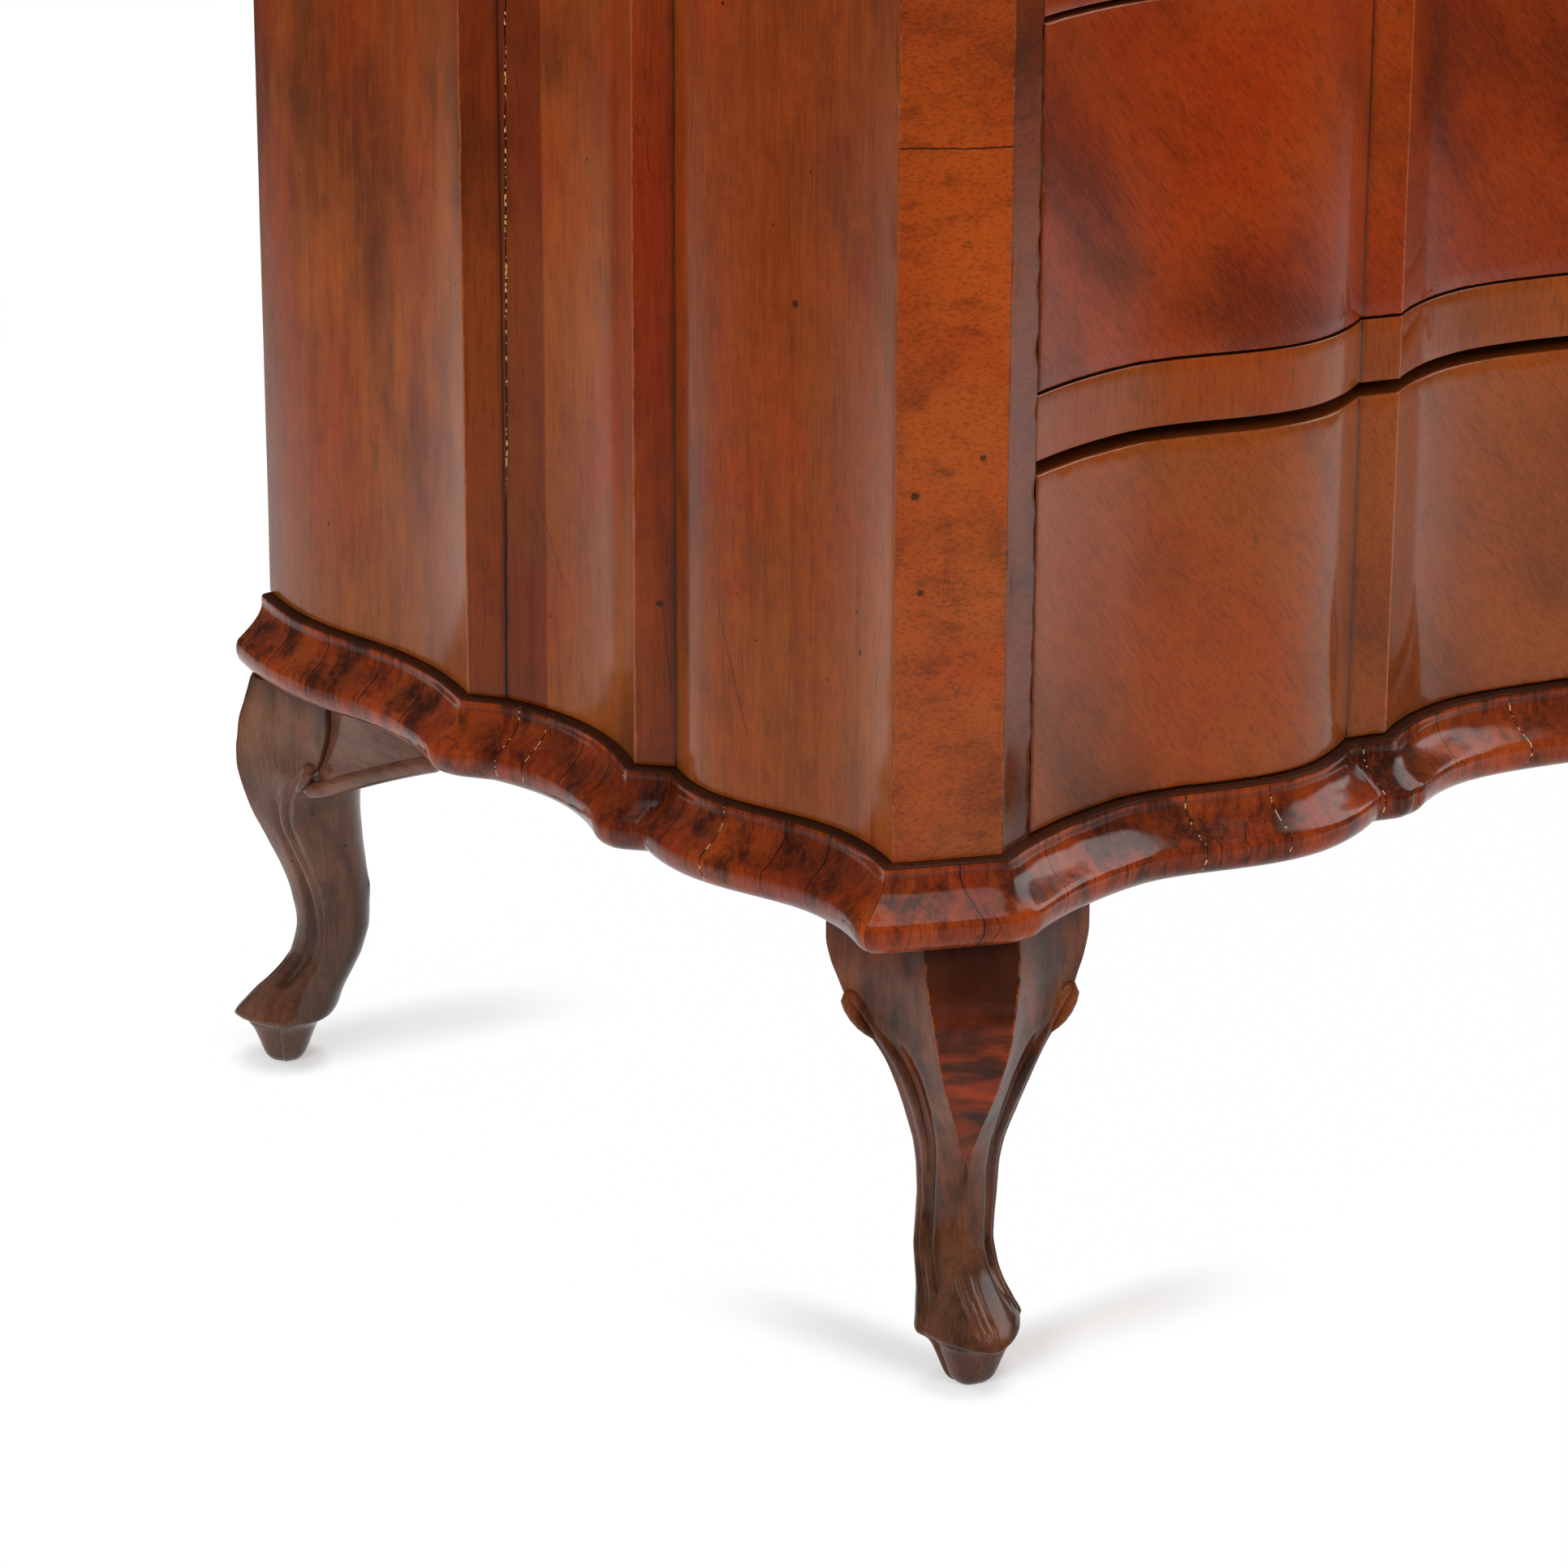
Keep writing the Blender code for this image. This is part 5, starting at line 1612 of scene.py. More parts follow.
def soften_arrises(rings: np.ndarray, profile: Sequence[tuple[float, float]], stretches: Sequence[Stretch],
                   cuts: Sequence[np.ndarray], step: float) -> None:
    """Pull a moulding's outer corners in where it turns round an arris.

    Args:
        rings: Its points, one ring a station, which are moved.
        profile: Its section as (out, height) pairs.
        stretches: The stretches that it follows.
        cuts: Directions of its mitres, one more than the stretches.
        step: Spacing of the stations.
    """
    places = np.cumsum([0] + [parts_along(part, step) for part in stretches])
    out = np.clip(np.array([u for u, _ in profile]), 0.0, None)
    befores = [stretches[0].normals[0], *(part.normals[-1] for part in stretches)]
    afters = [*(part.normals[0] for part in stretches), stretches[-1].normals[-1]]
    for place, cut, before, after in zip(places, cuts, befores, afters):
        valley = before[0] * after[1] - before[1] * after[0] < 0.0
        square_end = place in (0, places[-1]) and abs(cut[1]) < 0.01
        if before @ cut > 0.985 or valley or square_end:
            continue
        near = fading(np.abs(np.arange(len(rings)) - place) * step, 0.009) ** 2
        rings[:, :, :2] -= cut * (near[:, None] * out * 0.16)[:, :, None]


def outline_band(profile: Sequence[tuple[float, float]], step: float, stretches: Sequence[Stretch],
                 ends: tuple[np.ndarray, np.ndarray], roughen: Mark) -> Solid:
    """A moulding that follows stretches of the case's outline, mitred at each crease.

    Args:
        profile: Closed section as (out, height) pairs.
        step: Spacing of points along it.
        stretches: Neighbouring stretches in order.
        ends: Directions of its two end cuts.
        roughen: How far each point of the face is pushed out.

    Returns:
        The closed solid.
    """
    cuts = mitre_cuts(stretches, ends)
    rings = np.array([raised(mitred_line(stretches, cuts, out, step), z) for out, z in profile])
    rings = rings.transpose(1, 0, 2)
    soften_arrises(rings, profile, stretches, cuts, step)
    along = unit(np.gradient(rings[:, 0, :2], axis=0))
    push = roughen(rings.reshape(-1, 3)).reshape(rings.shape[:2])
    rings[:, :, 0] += along[:, 1][:, None] * push
    rings[:, :, 1] -= along[:, 0][:, None] * push
    return Solid.through(rings)


@dataclass
class BaseMoulding:
    """The bold moulding round the foot of the case.

    Attributes:
        finishes: Where the materials come from.
        ledge: Width of the flat ledge at its top.
        out: How far its nose stands out.
        behind: How far its back lies inside the case's face.
        step: Spacing of points along it.
    """

    finishes: Finishes
    ledge: float = 0.0050
    out: float = 0.0208
    behind: float = 0.0115
    step: float = 0.0022

    def profile(self) -> list[tuple[float, float]]:
        """The closed section: ledge, fillet, cove, nose, underside and back.

        Returns:
            Its (out, height) pairs.
        """
        top = PLAN.base_top
        foot = PLAN.leg_height
        rows = [(0.0012, top), (self.ledge - 0.0010, top - 0.0001), (self.ledge - 0.0002, top - 0.0007),
                (self.ledge + 0.0001, top - 0.0018), (self.ledge + 0.0003, top - 0.0034)]
        start = np.array([self.ledge + 0.0001, top - 0.0042])
        pulls = (np.array([self.ledge + 0.0004, top - 0.0115]), np.array([self.out - 0.0075, foot + 0.0205]))
        stop = np.array([self.out - 0.0012, foot + 0.0158])
        for t in np.linspace(0.0, 1.0, 11):
            point = start * (1 - t) ** 3 + pulls[0] * 3 * t * (1 - t) ** 2
            point = point + pulls[1] * 3 * t ** 2 * (1 - t) + stop * t ** 3
            rows.append((float(point[0]), float(point[1])))
        for turn in (24, 12, 0, -13, -26, -39, -52, -65, -78):
            a = math.radians(turn)
            tall = 0.0085 if turn > 0 else 0.0118
            rows.append((self.out - 0.0100 + 0.0100 * math.cos(a), foot + 0.0118 + tall * math.sin(a)))
        rows += [(self.out - 0.0100, foot + 0.0001), (self.out - 0.0118, foot)]
        rows += [(-self.behind, foot), (-self.behind, top - 0.0002), (-0.004, top)]
        return rows

    def build(self) -> None:
        """The front length and the two side lengths, mitred at the corner arrises."""
        stretches = PLAN.stretches(self.step)
        right = stretches[-5:]
        front = stretches[5:-5]
        corner = unit(right[0].normals[0] + front[-1].normals[-1])
        across = np.array([1.0, 0.0])
        profile = self.profile()
        side = outline_band(profile, self.step, right, (corner, across), self._rough)
        side.points[:, 1] += fading(side.points[:, 1] - PLAN.corner_y + 0.02, 0.06) * GAP
        flip = corner * np.array([-1.0, 1.0])
        length = outline_band(profile, self.step, front, (flip, corner), self._rough)
        marks = {"worn": self._worn, "dust": self._dust, "grime": self._fillet_and_cove_shade}
        for name, shape, age, seed in (
            ("moulding_right", side, SIDE_MOULDING_AGE, 6), ("moulding_left", side.mirrored(), SIDE_MOULDING_AGE, 3),
            ("moulding_front", length, FRONT_MOULDING_AGE, 8),
        ):
            material = self.finishes.wood(self.finishes.moulding_wood, "carved_" + name, Grain.UPRIGHT, seed, age)
            Piece(name + "_carved", "case", "walnut_dark", material, (name,)).place(shape, 34.0, marks)

    def _rough(self, co: np.ndarray) -> np.ndarray:
        """Lumps of the old hand-cut surface.

        Args:
            co: Points, one row each.

        Returns:
            How far each is pushed out.
        """
        face = np.clip((co[:, 2] - PLAN.leg_height - 0.003) / 0.004, 0.0, 1.0)
        face = face * np.clip((PLAN.base_top - 0.0015 - co[:, 2]) / 0.003, 0.0, 1.0)
        slow = ruffle(co * np.array([1.0, 1.0, 1.6]), 30.0, 1.0) * 0.00045
        quick = ruffle(co * np.array([1.0, 1.0, 2.2]), 95.0, 2.0) * 0.00028
        return (slow + quick) * face

    @staticmethod
    def _worn(co: np.ndarray) -> np.ndarray:
        """Wear along the fillet and the nose.

        Args:
            co: Points, one row each.

        Returns:
            The wear at each point.
        """
        rim = fading(np.abs(co[:, 2] - PLAN.base_top + 0.0012), 0.0016)
        nose = fading(np.abs(co[:, 2] - PLAN.leg_height - 0.006), 0.004) * 0.55
        return np.maximum(rim * 0.75, nose)

    @staticmethod
    def _dust(co: np.ndarray) -> np.ndarray:
        """Dust on the ledge."""
        return (co[:, 2] > PLAN.base_top - 0.0008).astype(float)

    @staticmethod
    def _fillet_and_cove_shade(co: np.ndarray) -> np.ndarray:
        """Painted shade under the fillet and, fainter, in the cove.

        Args:
            co: Points, one row each.

        Returns:
            The painted shade at each point.
        """
        fillet = fading(np.abs(co[:, 2] - PLAN.base_top + 0.0044), 0.0012) * 0.45
        cove = fading(np.abs(co[:, 2] - PLAN.base_top + 0.0120), 0.0110) * 0.34
        return np.maximum(fillet, cove)


@dataclass
class TopBoard:
    """The shaped top with its moulded edge, out of the photograph's frame.

    Attributes:
        finishes: Where the materials come from.
        overhang: How far its edge stands out.
        thickness: Its thickness.
        lip: Height of the rounded lip.
        step: Spacing of points along its edge.
        behind: How far it reaches past the case's back.
    """

    finishes: Finishes
    overhang: float = 0.020
    thickness: float = 0.030
    lip: float = 0.009
    step: float = 0.0035
    behind: float = 0.003

    def _profile(self) -> list[tuple[float, float]]:
        """Its section from inside over its lower face, edge and lip back to inside.

        Returns:
            Its (out, height) pairs.
        """
        low = PLAN.case_top
        high = low + self.thickness
        nose = high - self.lip
        reach = self.overhang
        rows = [(-0.020, low), (reach * 0.35, low), (reach * 0.37, low + 0.0016)]
        start = np.array([reach * 0.42, low + 0.0022])
        pull = np.array([reach * 0.46, nose - 0.004])
        stop = np.array([reach * 0.86, nose - 0.0022])
        rows += [(float(out), float(z)) for out, z in bow(start, pull, stop, np.linspace(0.0, 1.0, 9))]
        middle = (reach - 0.0062, high - 0.0058)
        for turn in (-58, -38, -18, 2, 22, 42, 62, 80):
            a = math.radians(turn)
            rows.append((middle[0] + 0.0062 * math.cos(a), middle[1] + 0.0058 * math.sin(a)))
        return rows + [(reach - 0.0085, high), (reach - 0.016, high), (-0.020, high)]

    def build(self) -> None:
        """One board with a fine edge profile all round the front and the sides."""
        stretches = PLAN.stretches(self.step)
        across = np.array([1.0, 0.0])
        cuts = mitre_cuts(stretches, (across, across))
        back = PLAN.back_y + self.behind
        lines = []
        for out, z in self._profile():
            edge = mitred_line(stretches, cuts, out, self.step)
            lines.append(raised(np.vstack([[edge[0][0], back], edge, [edge[-1][0], back]]), z))
        solid = Solid.through(np.array(lines))
        material = self.finishes.wood(self.finishes.top_wood, "veneer_top", Grain.ALONG, 9)

        def worn(co: np.ndarray) -> np.ndarray:
            """Wear along the lip."""
            return fading(np.abs(co[:, 2] - PLAN.case_top - self.thickness + 0.003), 0.004) * 0.72

        Piece("top_board_veneered", "case", "walnut_polished", material, ("top_board",)).place(
            solid, 30.0, {"worn": worn}
        )


# --- Legs and brackets ---


@dataclass(frozen=True)
class LegRow:
    """One level of a cabriole leg.

    Attributes:
        share: Its height as a share of the leg's.
        front: How far out its front lies.
        back: How far out its back lies.
        wide_at: How far out its widest point lies.
        half: Half its width.
        facet: Half the width of the flat front facet.
        full: Fullness of its flanks, negative where they are hollow.
        winged: Share of the wing in its back.
        ridge: Where along the flank the edge bead runs, 1 at the widest point.
    """

    share: float
    front: float
    back: float
    wide_at: float
    half: float
    facet: float
    full: float
    winged: float
    ridge: float


LEG_ROWS = tuple(LegRow(*row) for row in (
    (0.0, 0.0078, -0.0078, 0.0, 0.0078, 0.0015, 0.95, 0.0, 0.9),
    (0.010, 0.0100, -0.0100, 0.0, 0.0100, 0.0015, 0.95, 0.0, 0.9),
    (0.028, 0.0118, -0.0118, 0.0, 0.0118, 0.0015, 0.95, 0.0, 0.9),
    (0.060, 0.0142, -0.0142, 0.0, 0.0142, 0.0018, 0.95, 0.0, 0.9),
    (0.101, 0.0182, -0.0182, 0.0, 0.0182, 0.0025, 0.9, 0.0, 0.9),
    (0.1125, 0.0216, -0.0210, 0.0, 0.0212, 0.002, 0.55, 0.0, 0.95),
    (0.119, 0.0250, -0.0234, 0.0, 0.0232, 0.002, 0.48, 0.0, 0.95),
    (0.126, 0.0262, -0.0256, 0.0, 0.0238, 0.0022, 0.42, 0.0, 0.95),
    (0.135, 0.0246, -0.0268, -0.0006, 0.0233, 0.0022, 0.40, 0.0, 0.95),
    (0.147, 0.0214, -0.0280, -0.0016, 0.0222, 0.0024, 0.40, 0.0, 0.95),
    (0.164, 0.0172, -0.0292, -0.0032, 0.0208, 0.0026, 0.42, 0.0, 0.95),
    (0.197, 0.0096, -0.0320, -0.008, 0.0184, 0.0025, 0.46, 0.0, 0.95),
    (0.240, 0.0016, -0.0365, -0.015, 0.0171, 0.0022, 0.45, 0.0, 0.95),
    (0.286, -0.0045, -0.0410, -0.021, 0.0165, 0.002, 0.42, 0.0, 0.95),
    (0.356, -0.0076, -0.0445, -0.024, 0.0163, 0.0018, 0.40, 0.0, 0.94),
    (0.427, -0.0052, -0.0450, -0.023, 0.0169, 0.0018, 0.34, 0.0, 0.92),
    (0.497, -0.0005, -0.0436, -0.020, 0.0186, 0.0022, 0.24, 0.0, 0.89),
    (0.572, 0.0060, -0.0418, -0.016, 0.0233, 0.0055, 0.08, 0.1, 0.84),
    (0.656, 0.0128, -0.0412, -0.012, 0.0295, 0.0105, -0.05, 0.35, 0.81),
    (0.722, 0.0164, -0.0425, -0.014, 0.0365, 0.0140, -0.14, 0.65, 0.83),
    (0.773, 0.0180, -0.0440, -0.020, 0.0445, 0.0162, -0.18, 0.85, 0.86),
    (0.813, 0.0180, -0.0450, -0.0265, 0.0500, 0.0175, -0.2, 0.95, 0.94),
    (0.853, 0.0170, -0.0460, -0.0305, 0.0536, 0.0188, -0.2, 1.0, 0.97),
    (0.891, 0.0158, -0.0470, -0.0330, 0.0566, 0.0198, -0.18, 1.0, 0.98),
    (0.942, 0.0125, -0.0490, -0.0350, 0.0586, 0.0208, -0.16, 1.0, 1.0),
    (1.0, 0.0090, -0.0500, -0.0350, 0.0586, 0.0212, -0.12, 1.0, 1.0),
))


@dataclass
class CabrioleLeg:
    """A carved leg with a flat facet, hollow flanks, winged ears, edge beads and a collared foot.

    Attributes:
        height: Its height.
        levels: How many even levels the carving has.
        wing_turn: Angle of the wings' backs, in degrees.
        wing_thickness: Thickness of the wings.
        bead: Radius of the edge beads at the scroll and at the ankle.
        flute: Depth of the hollow beside each bead.
    """

    height: float = 0.2132
    levels: int = 150
    wing_turn: float = 40.0
    wing_thickness: float = 0.016
    bead: tuple[float, float] = (0.0038, 0.0021)
    flute: float = 0.0021

    def row(self, share: float) -> LegRow:
        """Row at any share of the height, smooth between the given ones.

        Args:
            share: Height of a level as a share of the leg's.

        Returns:
            The row.
        """
        table = np.array([astuple(r) for r in LEG_ROWS])
        x = table[:, 0]
        steps = np.diff(x)
        slopes = np.diff(table, axis=0) / steps[:, None]
        tangents = np.zeros_like(table)
        for i in range(1, len(x) - 1):
            same = slopes[i - 1] * slopes[i] > 0.0
            w1 = 2 * steps[i] + steps[i - 1]
            w2 = steps[i] + 2 * steps[i - 1]
            with np.errstate(divide="ignore", invalid="ignore"):
                harmonic = (w1 + w2) / (w1 / slopes[i - 1] + w2 / slopes[i])
            tangents[i] = np.where(same, harmonic, 0.0)
        tangents[0] = slopes[0]
        tangents[-1] = slopes[-1]
        i = int(np.clip(np.searchsorted(x, share) - 1, 0, len(x) - 2))
        t = (share - x[i]) / steps[i]
        h = steps[i]
        value = (table[i] * (2 * t ** 3 - 3 * t ** 2 + 1) + tangents[i] * h * (t ** 3 - 2 * t ** 2 + t)
                 + table[i + 1] * (3 * t ** 2 - 2 * t ** 3) + tangents[i + 1] * h * (t ** 3 - t ** 2))
        return LegRow(*(float(v) for v in value))

    def flank(self, row: LegRow, t: np.ndarray) -> np.ndarray:
        """Points on a flank from the facet's edge to the widest point.

        Args:
            row: The level.
            t: Places on the flank, from 0 to 1.

        Returns:
            The points, one row each.
        """
        ear = np.array([row.wide_at, row.half])
        start = np.array([row.front, row.facet])
        corner = np.array([row.front, row.half])
        control = (start + ear) / 2 + (corner - (start + ear) / 2) * row.full
        return bow(start, control, ear, t)

    def half_section(self, row: LegRow) -> np.ndarray:
        """Right half of a level, from the front middle to the back middle.

        Args:
            row: The level.

        Returns:
            The points, one row each.
        """
        turn = math.radians(self.wing_turn)
        ear = np.array([row.wide_at, row.half])
        plain = np.array([row.back * 0.75 + row.front * 0.25, row.half * 0.9])
        winged = ear + np.array([-math.sin(turn), -math.cos(turn)]) * self.wing_thickness
        inner = plain * (1 - row.winged) + winged * row.winged
        front = np.column_stack([np.full(5, row.front), np.linspace(0.0, row.facet, 5)])
        t = np.linspace(0.0, 1.0, 37)[1:]
        flank = self.flank(row, t)
        along = unit(np.gradient(flank, axis=0))
        shown = np.clip((row.share - 0.15) / 0.06, 0.0, 1.0) * np.clip((0.78 - row.share) / 0.1, 0.0, 1.0)
        hollow = np.exp(-((t - row.ridge + 0.21) / 0.11) ** 2) * self.flute * shown
        flank = flank + np.column_stack([-along[:, 1], along[:, 0]]) * hollow[:, None]
        away = np.array([-0.34, 0.94]) * min(0.006, row.half * 0.3)
        t = np.linspace(0.0, 1.0, 8)[1:]
        edge = bow(ear, ear + away * (0.9 - 0.5 * row.winged), inner, t)
        reach = min(row.back, inner[0] - 0.002)
        back = bow(inner, np.array([reach, inner[1] * 0.8]), np.array([reach, 0.0]), t)
        return np.vstack([front, flank, edge, back])

    def local(self) -> Solid:
        """The leg with its foot's middle at the origin, out along X and across along Y.

        Returns:
            The closed solid with both beads.
        """
        shares = np.unique(np.concatenate([
            np.linspace(0.0, 1.0, self.levels), np.linspace(0.09, 0.17, 26), [0.101, 0.1125, 0.122],
        ]))
        rings = []
        for share in shares:
            half = self.half_section(self.row(float(share)))
            section = np.vstack([half, half[1:-1][::-1] * np.array([1.0, -1.0])])
            rings.append(raised(section, share * self.height))
        carved = np.array(rings)
        self._dip(carved)
        self._grooves(carved)
        flat = carved.reshape(-1, 3)
        out = unit(raised(flat[:, :2] + np.array([0.018, 0.0]), 0.0))
        lumps = ruffle(flat, 55.0, 4.0) * 0.0003 + ruffle(flat, 150.0, 5.0) * 0.00012
        solid = Solid.through((flat + out * lumps[:, None]).reshape(carved.shape))
        for side in (1.0, -1.0):
            solid = solid.with_solid(self._bead(side))
        return solid

    def _dip(self, rings: np.ndarray) -> None:
        """Lower the front of the collar's lip.

        Args:
            rings: The leg's levels, which are changed.
        """
        near = fading(np.abs(rings[:, :, 2] / self.height - 0.125), 0.05)
        ahead = np.clip(rings[:, :, 0] / 0.026, 0.0, 1.0) ** 2
        rings[:, :, 2] -= near * ahead * 0.0032

    def _grooves(self, rings: np.ndarray) -> None:
        """Cut the short grooves into the front of the foot and the slit into the ankle.

        Args:
            rings: The leg's levels, which are changed.
        """
        share = rings[:, :, 2] / self.height
        reach = np.clip((share - 0.125) / 0.02, 0.0, 1.0) * np.clip((0.285 - share) / 0.05, 0.0, 1.0)
        ahead = (rings[:, :, 0] > -0.004).astype(float)
        depth = np.zeros_like(share)
        for at, width, deep in ((-0.0050, 0.0010, 0.0017), (-0.0018, 0.0010, 0.0024), (0.0016, 0.0011, 0.0021)):
            drift = at + (share - 0.15) * 0.01
            depth += deep * np.exp(-((rings[:, :, 1] - drift) / width) ** 2)
        slit = fading(np.abs(share - 0.455), 0.045) ** 0.5
        slit = slit * np.exp(-((rings[:, :, 1] - 0.0006) / 0.0008) ** 2) * 0.0016
        rings[:, :, 0] -= (depth * reach + slit) * ahead.clip(share > 0.4, 1.0)
        rings[:, :, 2] += depth * reach * ahead * 0.4

    def _bead(self, side: float) -> Solid:
        """The bead that curls at the ear and runs down a flank's edge to the collar.

        Args:
            side: 1 for the one flank, -1 for the other.

        Returns:
            The closed solid.
        """
        path = []
        radii = []
        collar, scroll = 0.128, 0.735
        for share in np.linspace(collar, scroll, 64):
            row = self.row(float(share))
            point = self.flank(row, np.array([row.ridge]))[0]
            path.append((point[0] - 0.0004, (point[1] - 0.0016) * side, share * self.height))
            blend = (share - collar) / (scroll - collar)
            radii.append(self.bead[1] + (self.bead[0] - self.bead[1]) * blend ** 2)
        for z, inward, out, radius in (
            (0.1600, 0.0066, 0.0014, 0.0040), (0.1650, 0.0062, 0.0018, 0.0040), (0.1700, 0.0060, 0.0022, 0.0039),
            (0.1738, 0.0050, 0.0024, 0.0036), (0.1762, 0.0030, 0.0024, 0.0033), (0.1764, 0.0006, 0.0020, 0.0030),
            (0.1742, -0.0008, 0.0014, 0.0030), (0.1708, -0.0014, 0.0008, 0.0030), (0.1668, -0.0016, 0.0004, 0.0029),
            (0.1632, -0.0010, 0.0000, 0.0025), (0.1606, 0.0000, -0.0002, 0.0018), (0.1590, 0.0008, -0.0002, 0.0010),
        ):
            row = self.row(z / self.height)
            path.append((row.wide_at + out, (row.half - inward) * side, z))
            radii.append(radius)
        points = np.array(path)
        for _ in range(2):
            points[1:-1] = (points[:-2] + points[1:-1] * 2 + points[2:]) / 4
        radii[0] = 0.0008
        return tube(points, np.array(radii), 12)

    def at(self, foot: Sequence[float], pointing: float, twist: float = 0.0) -> Solid:
        """Stand the leg up.

        Args:
            foot: Place of its foot.
            pointing: Direction in which it points.
            twist: How far its foot is twisted, in degrees.

        Returns:
            The leg in the chest's frame.
        """
        solid = self.local()
        out = np.array([math.cos(pointing), math.sin(pointing)])
        across = np.array([-out[1], out[0]])
        share = solid.points[:, 2] / self.height
        turn = np.radians(twist) * (1.0 - np.clip((share - 0.15) / 0.22, 0.0, 1.0)) ** 1.5
        x = solid.points[:, 0] * np.cos(turn) - solid.points[:, 1] * np.sin(turn)
        y = solid.points[:, 0] * np.sin(turn) + solid.points[:, 1] * np.cos(turn)
        y += np.radians(twist) * 0.0115 * (1.0 - np.clip((share - 0.14) / 0.13, 0.0, 1.0))
        flat = np.array(foot) + np.outer(x, out) + np.outer(y, across)
        return Solid(np.column_stack([flat, solid.points[:, 2]]), solid.faces)


@dataclass(frozen=True)
class LegMarks:
    """Where a leg that stands at a foot is worn, lit and darkened by painted shade.

    Attributes:
        foot: Place of its foot.
        pointing: Direction in which it points.
        height: Its height.
    """

    foot: tuple[float, float]
    pointing: float
    height: float

    def _spread(self, co: np.ndarray) -> tuple[np.ndarray, np.ndarray, np.ndarray]:
        """Points as distances out and across from the foot and as shares of the height.

        Args:
            co: Points, one row each.

        Returns:
            The distances out and across, and the shares.
        """
        flat = co[:, :2] - np.array(self.foot)
        out = flat @ np.array([math.cos(self.pointing), math.sin(self.pointing)])
        across = flat @ np.array([-math.sin(self.pointing), math.cos(self.pointing)])
        return out, np.abs(across), co[:, 2] / self.height

    @staticmethod
    def _size(name: str, share: np.ndarray) -> np.ndarray:
        """One size of the leg's rows at shares of its height."""
        return np.interp(share, [row.share for row in LEG_ROWS], [getattr(row, name) for row in LEG_ROWS])

    def facet(self, co: np.ndarray) -> np.ndarray:
        """1 on the flat front facet.

        Args:
            co: Points, one row each.

        Returns:
            The mark at each point.
        """
        out, across, share = self._spread(co)
        on = (across < self._size("facet", share) + 0.0004) & (out > self._size("front", share) - 0.0015)
        return on * np.clip((share - 0.46) / 0.12, 0.0, 1.0)

    def grime(self, co: np.ndarray) -> np.ndarray:
        """Painted shade in the hollows beside the beads and under the moulding.

        Args:
            co: Points, one row each.

        Returns:
            The painted shade at each point.
        """
        _, across, share = self._spread(co)
        inward = self._size("half", share) - across
        hollow = np.exp(-((inward - 0.0052) / 0.0016) ** 2) * ((share > 0.2) & (share < 0.72))
        return hollow * 0.5 + np.clip((share - 0.93) / 0.07, 0.0, 1.0) * 0.5

    def worn(self, co: np.ndarray) -> np.ndarray:
        """Wear on the facet's edges and on the collar's lip.

        Args:
            co: Points, one row each.

        Returns:
            The wear at each point.
        """
        out, across, share = self._spread(co)
        rim = fading(np.abs(across - self._size("facet", share)), 0.0012)
        rim = rim * (out > self._size("front", share) - 0.002) * (share > 0.5) * 0.9
        lip = fading(np.abs(share + np.clip(out / 0.026, 0, 1) ** 2 * 0.012 - 0.118), 0.012)
        return np.maximum(rim, lip * 0.8)

    def all(self) -> dict[str, Mark]:
        """The marks by name."""
        return {"worn": self.worn, "facet": self.facet, "grime": self.grime}


